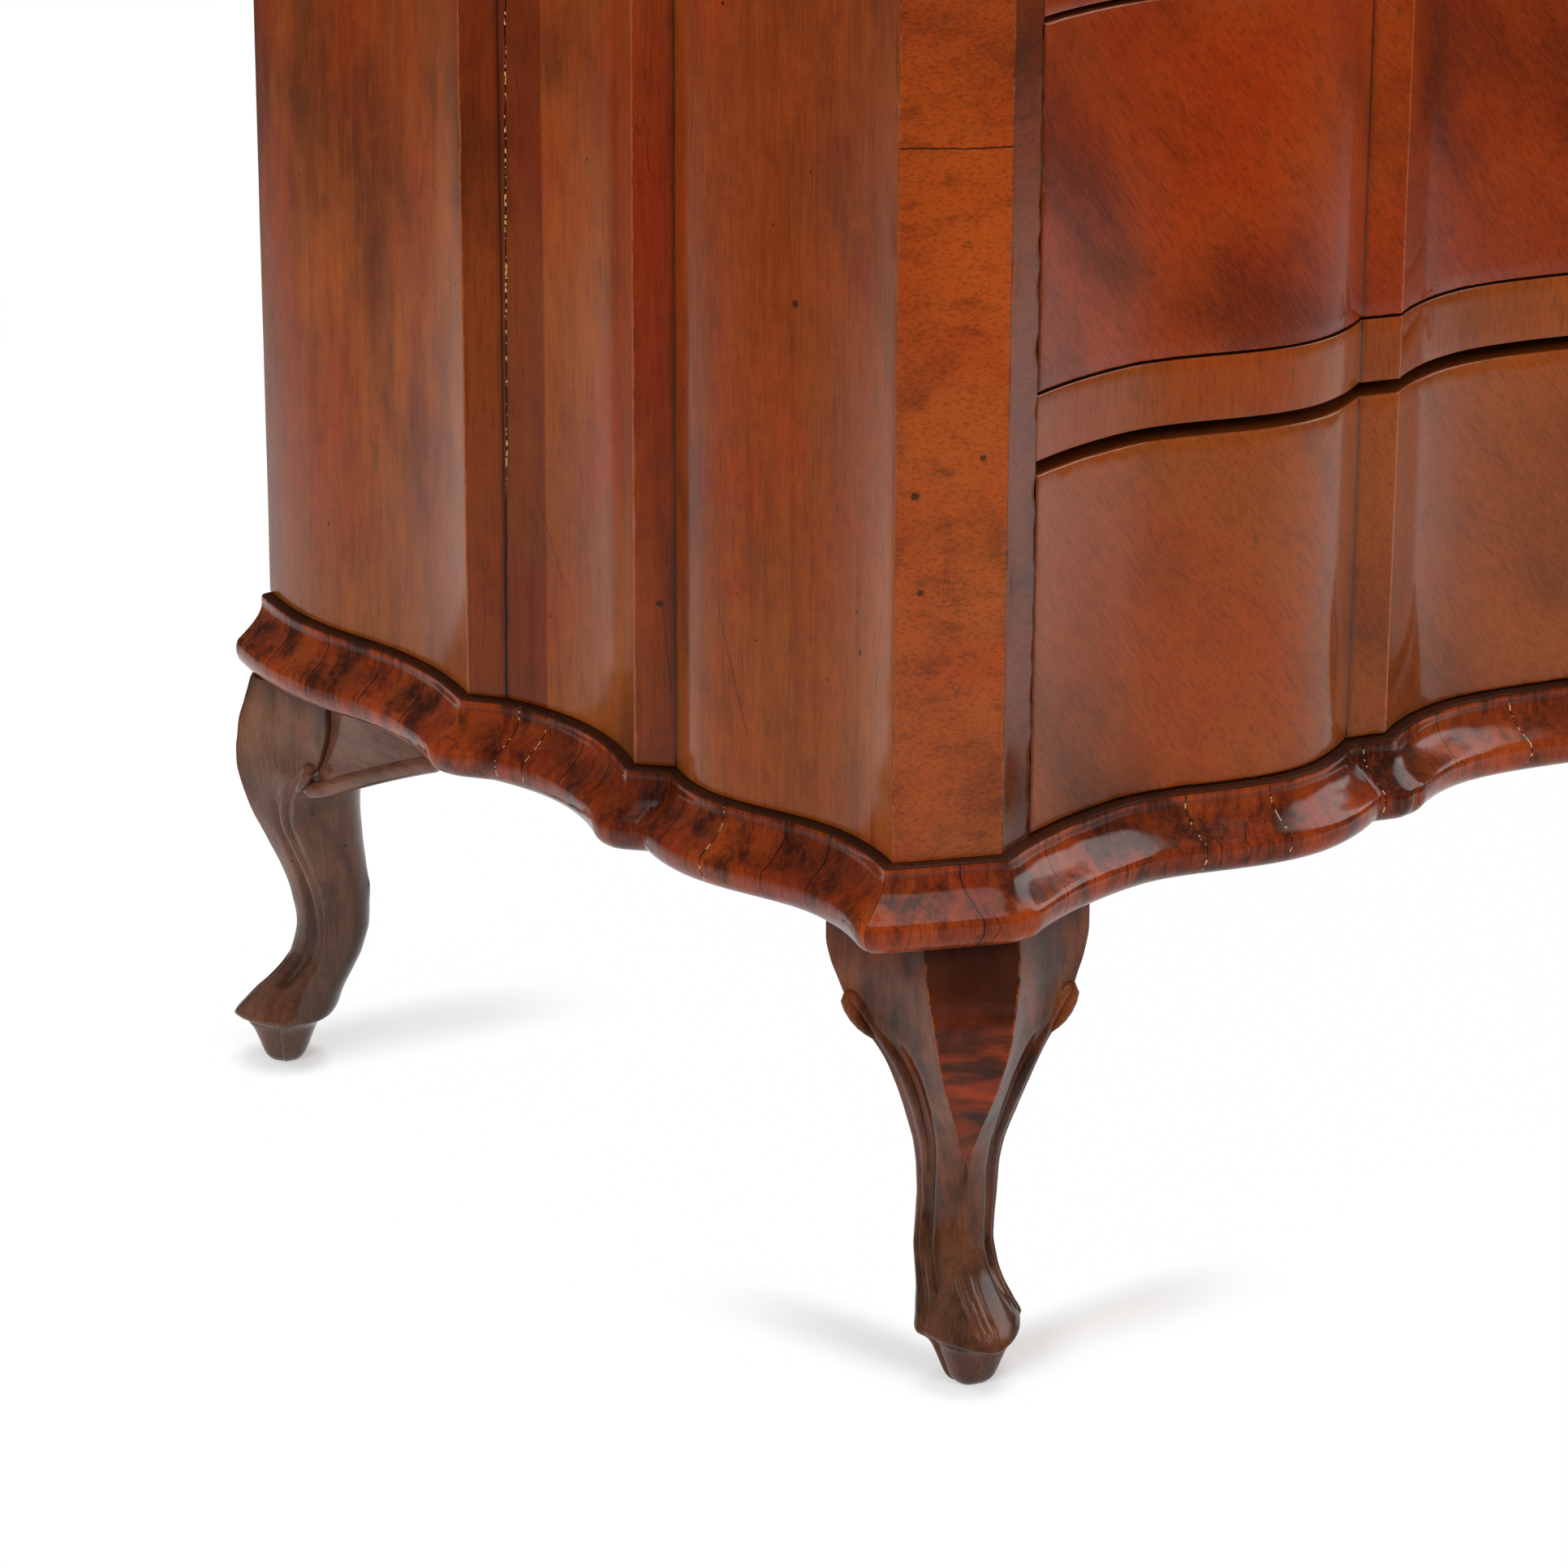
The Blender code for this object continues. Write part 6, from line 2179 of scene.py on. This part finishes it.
@dataclass
class BaseSupports:
    """The four legs and the brackets beside the back pair.

    Attributes:
        finishes: Where the materials come from.
        front_foot: Place of a front foot from its corner arris, inwards and forwards.
        front_turn: How far a front leg turns to the side, in degrees.
        back_foot: Place of a back foot from its corner, inwards and forwards.
        back_turn: How far a back leg turns, in degrees.
        foot_twist: How far a front foot is twisted, in degrees.
        bracket_out: How far the brackets' faces stand out from the corner arris.
        bracket_thickness: Thickness of the brackets.
        bracket_length: Length of the brackets.
        bracket_drop: How far they hang down beside the leg.
        bracket_end: How far they hang down at the far end.
        bracket_ease: Radius of their outer edge.
    """

    finishes: Finishes
    front_foot: tuple[float, float] = (0.0339, 0.013)
    front_turn: float = 34.0
    back_foot: tuple[float, float] = (0.0105, 0.0042)
    back_turn: float = 45.0
    foot_twist: float = 17.0
    bracket_out: float = 0.004
    bracket_thickness: float = 0.022
    bracket_length: float = 0.098
    bracket_drop: float = 0.052
    bracket_end: float = 0.006
    bracket_ease: float = 0.0012

    def build(self) -> None:
        """Four legs and two brackets."""
        leg = CabrioleLeg()
        front_y = PLAN.corner_y - self.front_foot[1]
        front_x = PLAN.half_width - self.front_foot[0]
        back_y = PLAN.back_y - self.back_foot[1]
        back_x = PLAN.half_width - self.back_foot[0]
        front_turn = math.radians(self.front_turn)
        back_turn = math.radians(self.back_turn)
        quarter = math.pi / 2
        places = (
            ("leg_front_right", (front_x, front_y), front_turn - quarter, 7),
            ("leg_front_left", (-front_x, front_y), -front_turn - quarter, 2),
            ("leg_back_right", (back_x, back_y), quarter - back_turn, 9),
            ("leg_back_left", (-back_x, back_y), quarter + back_turn, 4),
        )
        for name, foot, pointing, seed in places:
            ahead = "front" in name
            finish = self.finishes.leg_wood if ahead else self.finishes.back_leg_wood_painted_sheen
            material = self.finishes.wood(finish, "carved_" + name, Grain.UPRIGHT, seed)
            twist = self.foot_twist * ahead * (1.0 if foot[0] < 0.0 else -1.0)
            Piece(name + "_carved", "case", "walnut_leg", material, (name,)).place(
                leg.at(foot, pointing, twist), 32.0, LegMarks(foot, pointing, leg.height).all()
            )
        for name, side, seed in (("bracket_back_right", 1.0, 5), ("bracket_back_left", -1.0, 8)):
            material = self.finishes.wood(self.finishes.back_leg_wood_painted_sheen, "carved_" + name, Grain.DEEP, seed)
            Piece(name + "_carved", "case", "walnut_leg", material, (name,)).place(self._bracket(leg, side), 34.0)

    def _bracket(self, leg: CabrioleLeg, side: float) -> Solid:
        """A shaped bracket with a rounded lip along its lower edge.

        Args:
            leg: The leg that it stands against.
            side: 1 on the right, -1 on the left.

        Returns:
            The closed solid.
        """
        turn = math.radians(self.back_turn)
        foot_y = PLAN.back_y - self.back_foot[1]
        rows = []
        for row in reversed(LEG_ROWS):
            if row.share > 0.773:
                ear = foot_y + row.wide_at * math.cos(turn) - (row.half + 0.001) * math.sin(turn)
                rows.append((ear - 1.5 * GAP, row.share * leg.height))
        rows.append((rows[-1][0] - 0.0012, leg.height - self.bracket_drop))
        start, low = rows[-1]
        stop = rows[0][0] - self.bracket_length
        end = leg.height - self.bracket_end
        lower = [
            (start + (stop - start) * t, low + (end - low) * t + 0.0012 * math.sin(math.pi * t))
            for t in np.linspace(0.0, 1.0, 26)[1:]
        ]
        outline = np.array(rows + lower + [(stop, leg.height)])
        middle = outline.mean(axis=0)
        outer = PLAN.half_width + self.bracket_out
        ease = self.bracket_ease
        sections = []
        for x, inset in ((outer, ease), (outer - ease * 0.3, ease * 0.3), (outer - ease, 0.0),
                         (outer - self.bracket_thickness, 0.0)):
            shrunk = outline + unit(middle - outline) * inset
            sections.append(np.column_stack([np.full(len(outline), side * x), shrunk]))
        solid = Solid.through(np.array(sections))
        # The lip starts in a small scroll on the leg and follows the lower edge.
        curl = ((-0.003, 0.014, 0.0002), (-0.0005, 0.009, 0.0018), (0.0005, 0.0035, 0.0026))
        path = [(side * (outer + out), start + y, low + z) for out, y, z in curl]
        path += [(side * (outer - 0.0015), y, z + 0.0032) for y, z in lower[:-2]]
        radii = np.array([0.0022, 0.0042, *[0.0046] * (len(path) - 3), 0.0026])
        return solid.with_solid(tube(np.array(path), radii, 16))


# --- Drawers ---


@dataclass
class Drawer:
    """One drawer's front, its keyhole plate and its key.

    Attributes:
        finishes: Where the materials come from.
        name: Its name in the record.
        low: Lowest point of its front.
        high: Highest point of its front.
        key_z: Height of its keyhole.
        floor: Height of the surface that it runs on.
        seed: Which part of the wood's pattern its front shows.
        edge: Half the width of its front.
        thickness: Thickness of its front.
        step: Spacing of points along its front.
        radius: Radius of the front's edges.
    """

    finishes: Finishes
    name: str
    low: float
    high: float
    key_z: float
    floor: float
    seed: int
    edge: float = 0.4616
    thickness: float = 0.024
    step: float = 0.0030
    radius: float = 0.0016

    def inside_y(self, x: float) -> float:
        """Depth of the front's back face at a place along its width."""
        return PLAN.front_y(min(max(abs(x), 0.034), 0.4466)) + self.thickness

    def build(self) -> None:
        """Front, plate and key."""
        self._front()
        self._plate()
        self._key()

    def _front(self) -> None:
        """The shaped front with worn edges, a groove for the bottom and a keyhole."""
        groove = (self.floor + 0.0077, self.floor + 0.0163, 0.006)
        solid = front_band(self.edge, self.low, self.high, self.radius, self.step, self.inside_y, groove, 0.00022)
        crest = PLAN.front_y(0.0)
        hole = turned_along_y([(crest - 0.02, 0.0035), (crest + 0.05, 0.0035)], self.key_z, 24)
        wood = self.finishes.low_drawer_wood if self.name == "lower" else self.finishes.drawer_wood
        material = self.finishes.wood(wood, "veneer_drawer_" + self.name, Grain.SLANT, self.seed)

        def grime(co: np.ndarray) -> np.ndarray:
            """Painted shade and dirt in the valleys, and painted shade on the front's hidden edges and in the gaps at
            its ends.

            Args:
                co: Points, one row each.

            Returns:
                The painted shade and dirt at each point.
            """
            from_end = self.edge - np.abs(co[:, 0])
            hidden = np.minimum.reduce([co[:, 2] - self.low, self.high - co[:, 2], from_end])
            ends = np.clip(1.4 - from_end / 0.0009, 0.0, 1.0)
            return np.maximum.reduce([PLAN.valley_shade_and_grime(co), (hidden < 0.0002) * 0.62, ends * 0.7])

        def worn(co: np.ndarray) -> np.ndarray:
            """Wear of the four edges and of the arrises.

            Args:
                co: Points, one row each.

            Returns:
                The wear at each point.
            """
            rim = fading(np.minimum(co[:, 2] - self.low, self.high - co[:, 2]), 0.0024) * 0.95
            ends = fading(self.edge - np.abs(co[:, 0]), 0.003)
            return np.maximum.reduce([PLAN.worn(0.0022)(co), rim, ends]) * (co[:, 1] < -0.205)

        Piece(
            f"drawer_{self.name}_front_veneered", "drawer_" + self.name, "walnut_polished", material,
            (f"drawer_{self.name}_front",),
        ).place(solid, 24.0, {"worn": worn, "grime": grime}, [hole])

    def _plate(self) -> None:
        """A domed oval keyhole plate with a beaded rim."""
        back = PLAN.front_y(0.0) - GAP
        around = 64
        rings = [
            upright_ring(0.015 * reach, 0.022 * reach, back - out, self.key_z, around) for reach, out in (
                (1.0, 0.0), (1.0, 0.0006), (0.985, 0.0010), (0.95, 0.0012), (0.91, 0.0010), (0.885, 0.0007),
                (0.84, 0.00085), (0.6, 0.0012), (0.38, 0.0014),
            )
        ]
        rings += [
            upright_ring(radius, radius, back - out, self.key_z, around)
            for radius, out in ((0.0042, 0.00155), (0.0033, 0.0015), (0.0029, 0.0012), (0.0028, 0.0))
        ]
        plate = Solid.looped(np.array(rings))
        pin = [(back - 0.0001, 0.0011), (back - 0.0009, 0.0011), (back - 0.0014, 0.0008), (back - 0.0016, 0.0002)]
        for dz in (0.0185, -0.0185):
            plate = plate.with_solid(turned_along_y(pin, self.key_z + dz, 12))
        material = self.finishes.metal(self.finishes.brass, "brass_plates")
        Piece(
            f"lock_{self.name}_plate_domed", "drawer_" + self.name, "brass_old", material,
            (f"lock_{self.name}_escutcheon",),
        ).place(plate, 40.0)

    def _key(self) -> None:
        """A key with a ringed shank, an oval bow and a notched bit."""
        far = self.inside_y(0.0) + GAP + 0.010
        near = PLAN.front_y(0.0) - 0.013
        shank = [(near + deep, radius) for deep, radius in (
            (-0.0006, 0.0012), (0.0, 0.0026), (0.0012, 0.0034), (0.0022, 0.0034), (0.0030, 0.0024),
            (0.0042, 0.0022), (0.0050, 0.0030), (0.0058, 0.0030), (0.0066, 0.0024), (0.0100, 0.0024),
        )]
        key = turned_along_y([*shank, (far - 0.0012, 0.0024), (far, 0.0018)], self.key_z, 24)
        rolls = 2 * np.pi * np.arange(12) / 12
        rings = []
        for t in np.linspace(0.0, 2 * np.pi, 49)[:-1]:
            wire = 0.0019 + 0.0004 * np.cos(t) ** 2
            rings.append(np.column_stack([
                wire * 0.8 * np.sin(rolls), near - 0.0095 + 0.0092 * np.cos(t) + wire * np.cos(rolls) * np.cos(t),
                self.key_z + 0.0098 * np.sin(t) + wire * np.cos(rolls) * np.sin(t),
            ]))
        key = key.with_solid(Solid.looped(np.array(rings)))
        outline = (
            (-0.0100, 0.0010), (-0.0100, 0.0026), (-0.0072, 0.0026), (-0.0072, 0.0036), (-0.0100, 0.0036),
            (-0.0100, 0.0060), (-0.0010, 0.0060), (-0.0010, 0.0010),
        )
        bit = np.array([[(x, far - y, self.key_z + h) for x, y in outline] for h in (-0.001, 0.001)])
        key = key.with_solid(Solid.through(bit))
        material = self.finishes.metal(self.finishes.brass, "brass_keys")
        Piece(
            f"lock_{self.name}_key_turned", "key_" + self.name, "brass_old", material, (f"lock_{self.name}_key",)
        ).place(key, 40.0)


# --- Inside ---


@dataclass
class CarriedPieces:
    """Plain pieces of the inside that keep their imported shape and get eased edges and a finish.

    Attributes:
        finishes: Where the materials come from.
        nodes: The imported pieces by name.
    """

    finishes: Finishes
    nodes: dict[str, bpy.types.Object]

    def build(self) -> None:
        """Dress every piece that nothing stands for."""
        for name, obj in sorted(self.nodes.items()):
            if obj.hide_render:
                continue
            material, ease = self._finish(name)
            obj.data.materials.clear()
            obj.data.materials.append(material)
            bevel = obj.modifiers.new("eased", "BEVEL")
            bevel.width = ease
            bevel.segments = 2
            bevel.limit_method = "ANGLE"
            bevel.angle_limit = math.radians(40)
            bevel.harden_normals = False
            LOG.info("%s: kept, %s", name, material.name)

    def _finish(self, name: str) -> tuple[bpy.types.Material, float]:
        """Material of a piece and the radius of its edges.

        Args:
            name: Name of the piece.

        Returns:
            The material and the radius.
        """
        f = self.finishes
        if name.startswith("lock"):
            return f.metal(f.iron, "iron_locks"), 0.0004
        seed = sum(ord(c) for c in name) % 13
        if name.endswith("_bottom") or name == "bottom_board":
            return f.wood(f.raw_pine, f"pine_{seed}_across", Grain.ALONG, seed), 0.0006
        if name.endswith("_back") or name == "back_panel":
            return f.wood(f.raw_poplar, f"poplar_{seed}_across", Grain.ALONG, seed), 0.0012
        if name.startswith("post"):
            return f.wood(f.raw_poplar, f"poplar_{seed}_upright", Grain.UPRIGHT, seed), 0.0012
        return f.wood(f.raw_poplar, f"poplar_{seed}_deep", Grain.DEEP, seed), 0.0009


# --- Floor, light and camera ---


@dataclass
class Studio:
    """White floor, soft lamps and the camera of the photograph.

    Attributes:
        corner: The case's front left corner arris on the floor.
        camera_from_corner: Place of the camera from that corner.
        camera_height: Height of the camera.
        heading: Horizontal direction in which it looks.
        pitch: How far it looks down, in degrees.
        focal_pixels: Focal length in pixels of the photograph.
        frame: Pixels along a side of the photograph.
        shift_pixels: How far the picture lies off the lens's axis.
        ambient: Strength of the world's light.
        floor_glow: Brightness that the floor shows in the deepest shadow and in none.
        floor_mirrored: Brightness of the floor in reflections.
        world_mirrored: Brightness of the world in reflections, in general, at the side and above.
        front_foot: Half the distance between the front feet, and their depth.
        back_foot: The same of the back feet.
        floor_radii: Radii of the floor's rings.
    """

    corner: tuple[float, float] = (-0.530, -0.2113)
    camera_from_corner: tuple[float, float] = (-1.369, -1.5455)
    camera_height: float = 1.04
    heading: tuple[float, float] = (0.6374, 0.7705)
    pitch: float = 17.42
    focal_pixels: float = 6300.0
    frame: float = 1932.0
    shift_pixels: tuple[float, float] = (66.0, -290.0)
    ambient: float = 0.42
    floor_glow: tuple[float, float] = (0.15, 0.996)
    floor_mirrored: float = 0.85
    world_mirrored: tuple[float, float, float] = (0.05, 2.0, 1.15)
    front_foot: tuple[float, float] = (0.4955, -0.2250)
    back_foot: tuple[float, float] = (0.5200, 0.2705)
    floor_radii: tuple[float, ...] = (0.4, 0.9, 1.5, 2.2, 3.4)

    def build(self) -> None:
        """Everything round the chest."""
        self._floor()
        self._world()
        self._lamps()
        self._camera()
        bpy.context.scene.view_settings.view_transform = "Standard"

    def _floor(self) -> None:
        """A large round white floor that keeps a faint shadow."""
        around = 96
        turns = 2 * np.pi * np.arange(around) / around
        points = [(0.0, 0.0, -0.0002)]
        for r in self.floor_radii:
            points += [(r * math.cos(t), r * math.sin(t), -0.0002) for t in turns]
        faces: list[tuple[int, ...]] = [(0, 1 + i, 1 + (i + 1) % around) for i in range(around)]
        faces += sheet_faces(len(self.floor_radii), around, 1, True)
        mesh = bpy.data.meshes.new("floor")
        mesh.from_pydata(points, [], faces)
        mesh.materials.append(self._floor_material())
        floor = bpy.data.objects.new("floor", mesh)
        bpy.context.collection.objects.link(floor)

    def _floor_material(self) -> bpy.types.Material:
        """White with streaks of shadow where it is seen, and fading out at its rim.

        Returns:
            The material.
        """
        material = bpy.data.materials.new("white_floor")
        material.use_nodes = True
        g = Graph(material.node_tree)
        place = g.place()
        matt = g.add("ShaderNodeBsdfDiffuse", None, {
            "Color": g.mix(g.noise(place, 6.0, 6.0, 3.0), srgb(246, 246, 246), srgb(250, 250, 250)),
            "Roughness": 0.4,
        }, output="BSDF")
        glow, black = (
            g.add("ShaderNodeEmission", None, {"Color": (1.0, 1.0, 1.0), "Strength": strength}, output="Emission")
            for strength in (1.0, 0.0)
        )
        clear = g.add("ShaderNodeBsdfTransparent", output="BSDF")
        reach = g.vector("LENGTH", place, output="Value")
        x, y = g.axis(place, 0), g.axis(place, 1)
        mirrored = self._either(g, self._mirrored_level(x, y, reach) * self.floor_mirrored, black, glow)
        camera, glossy = (g.add("ShaderNodeLightPath", output=key) for key in ("Is Camera Ray", "Is Glossy Ray"))
        share = self.floor_glow[1] - self._shade(x, y) * (self.floor_glow[1] - self.floor_glow[0])
        shader = self._either(g, camera * share, matt, glow)
        shader = self._either(g, reach.step(1.2, 2.0), shader, clear)
        below = g.axis(g.add("ShaderNodeNewGeometry", output="Incoming"), 2).step(0.0, -0.001)
        shader = self._either(g, below, shader, clear)
        shader = self._either(g, glossy, shader, mirrored)
        g.add("ShaderNodeOutputMaterial", None, {"Surface": shader})
        return material

    @staticmethod
    def _mirrored_level(x: Wire, y: Wire, reach: Wire) -> Wire:
        """How bright the floor is in reflections.

        Args:
            x: Place along the front.
            y: Depth.
            reach: Distance from the floor's middle.

        Returns:
            The brightness, mostly between 0 and 1.
        """
        level = x.step(-0.25, 0.85) * y.step(0.0, -0.6) * 0.58 + y.step(0.3, 1.1) * 0.2 + 0.34
        level = level + reach.step(1.15, 0.75) * y.step(-0.5, 0.0) * 0.45
        return level * (reach.step(2.5, 1.1) * 0.93 + y.step(0.3, 1.2) * reach.step(3.3, 2.2) * 0.3 + 0.03)

    def _shade(self, x: Wire, y: Wire) -> Wire:
        """Shadow round the feet, with two streaks beside each front foot and one beside each back foot.

        Args:
            x: Place along the front.
            y: Depth.

        Returns:
            The shadow's share.
        """
        shade: Wire | float = 0.0
        for foot_x, foot_y in (self.front_foot, self.back_foot):
            for side in (-1.0, 1.0):
                across, deep = x - side * foot_x, y - foot_y
                if foot_y < 0.0:
                    shade = self._streak(deep, across + deep * 0.2, 0.158, 0.032, 0.6).most(shade)
                    shade = self._streak(across, deep - 0.004 + across * 0.04, 0.192, 0.033, 0.9).most(shade)
                else:
                    shade = self._streak(across, deep - 0.009 + across * 0.22, 0.185, 0.044, 0.45).most(shade)
                shade = ((across * across + deep * deep).step(0.0010, 0.0001) * 0.7).most(shade)
        return shade

    @staticmethod
    def _streak(along: Wire, aside: Wire, reach: float, half: float, depth: float) -> Wire:
        """A shadow that runs from a foot along one direction and fades.

        Args:
            along: Distance from the foot along the streak.
            aside: Distance from its middle line.
            reach: Its length.
            half: Half its width.
            depth: How plain it is.

        Returns:
            The shadow's share.
        """
        across = (abs(aside) / half).step(1.0, 0.1) * depth
        return across * along.step(reach, reach - 0.09) * along.step(-0.02, 0.01)

    @staticmethod
    def _either(g: Graph, share: Wire, first: Wire, second: Wire) -> Wire:
        """Blend of two shaders."""
        return g.add("ShaderNodeMixShader", None, {0: share, 1: first, 2: second}, output="Shader")

    def _world(self) -> None:
        """A world that is white where it is seen, and dimmer as a light and in reflections."""
        world = bpy.data.worlds.new("studio")
        world.use_nodes = True
        bpy.context.scene.world = world
        g = Graph(world.node_tree)
        camera, glossy, through = (
            g.add("ShaderNodeLightPath", output=key)
            for key in ("Is Camera Ray", "Is Glossy Ray", "Is Transmission Ray")
        )
        white, lit, low, side, above = (
            g.add("ShaderNodeBackground", None, {"Color": (1.0, 1.0, 1.0), "Strength": strength}, output="Background")
            for strength in (1.0, self.ambient, *self.world_mirrored)
        )
        way = g.add("ShaderNodeTexCoord", output="Generated")
        mirrored = low
        for towards, edges, glow in (((0.80, -0.13, 0.585), (0.885, 0.955), side),
                                     ((-0.09, -0.26, 0.961), (0.915, 0.955), above)):
            near = g.vector("DOT_PRODUCT", way, towards, output="Value")
            mirrored = self._either(g, near.step(*edges), mirrored, glow)
        light = self._either(g, glossy, lit, mirrored)
        light = self._either(g, camera.most(through), light, white)
        g.add("ShaderNodeOutputWorld", None, {"Surface": light})

    @staticmethod
    def _lamps() -> None:
        """Soft boxes to the left, before, behind and above the chest."""
        lamps = (
            ("left_box", (-3.0, -0.95, 1.9), 1.3, 30.0),
            ("front_box", (-0.3, -3.2, 1.9), 1.6, 33.0),
            ("rear_box", (-1.9, 2.6, 2.0), 1.2, 26.0),
            ("top_box", (0.2, -0.3, 3.2), 1.6, 60.0),
        )
        target = Vector((-0.25, -0.05, 0.35))
        for name, place, size, power in lamps:
            data = bpy.data.lights.new(name, "AREA")
            data.shape = "SQUARE"
            data.size = size
            data.energy = power
            lamp = bpy.data.objects.new(name, data)
            lamp.location = place
            lamp.visible_glossy = False
            lamp.rotation_euler = (target - Vector(place)).to_track_quat("-Z", "Y").to_euler()
            bpy.context.collection.objects.link(lamp)

    def _camera(self) -> None:
        """The camera at the photograph's angle."""
        data = bpy.data.cameras.new("camera")
        data.sensor_width = 36.0
        data.lens = self.focal_pixels / self.frame * 36.0
        data.shift_x = self.shift_pixels[0] / self.frame
        data.shift_y = self.shift_pixels[1] / self.frame
        data.clip_end = 60.0
        camera = bpy.data.objects.new("camera", data)
        down = math.radians(self.pitch)
        look = Vector((self.heading[0] * math.cos(down), self.heading[1] * math.cos(down), -math.sin(down)))
        camera.location = (
            self.corner[0] + self.camera_from_corner[0], self.corner[1] + self.camera_from_corner[1],
            self.camera_height,
        )
        camera.rotation_euler = look.to_track_quat("-Z", "Y").to_euler()
        bpy.context.collection.objects.link(camera)
        bpy.context.scene.camera = camera


def main() -> None:
    """Build the chest piece by piece."""
    logging.basicConfig(level=logging.INFO, format="%(name)s %(message)s")
    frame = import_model()
    finishes = Finishes()
    CaseBody(finishes).build()
    BaseMoulding(finishes).build()
    TopBoard(finishes).build()
    BaseSupports(finishes).build()
    for name, low, high, key_z, floor, seed in (
        ("lower", 0.2508, 0.4148, 0.3833, 0.2500, 12),
        ("middle", 0.4513, 0.6115, 0.5800, 0.4505, 15),
        ("upper", 0.6443, 0.7910, 0.7595, 0.6435, 10),
    ):
        Drawer(finishes, name, low, high, key_z, floor, seed).build()
    CarriedPieces(finishes, frame["nodes"]).build()
    Studio().build()


if __name__ == "__main__":
    main()
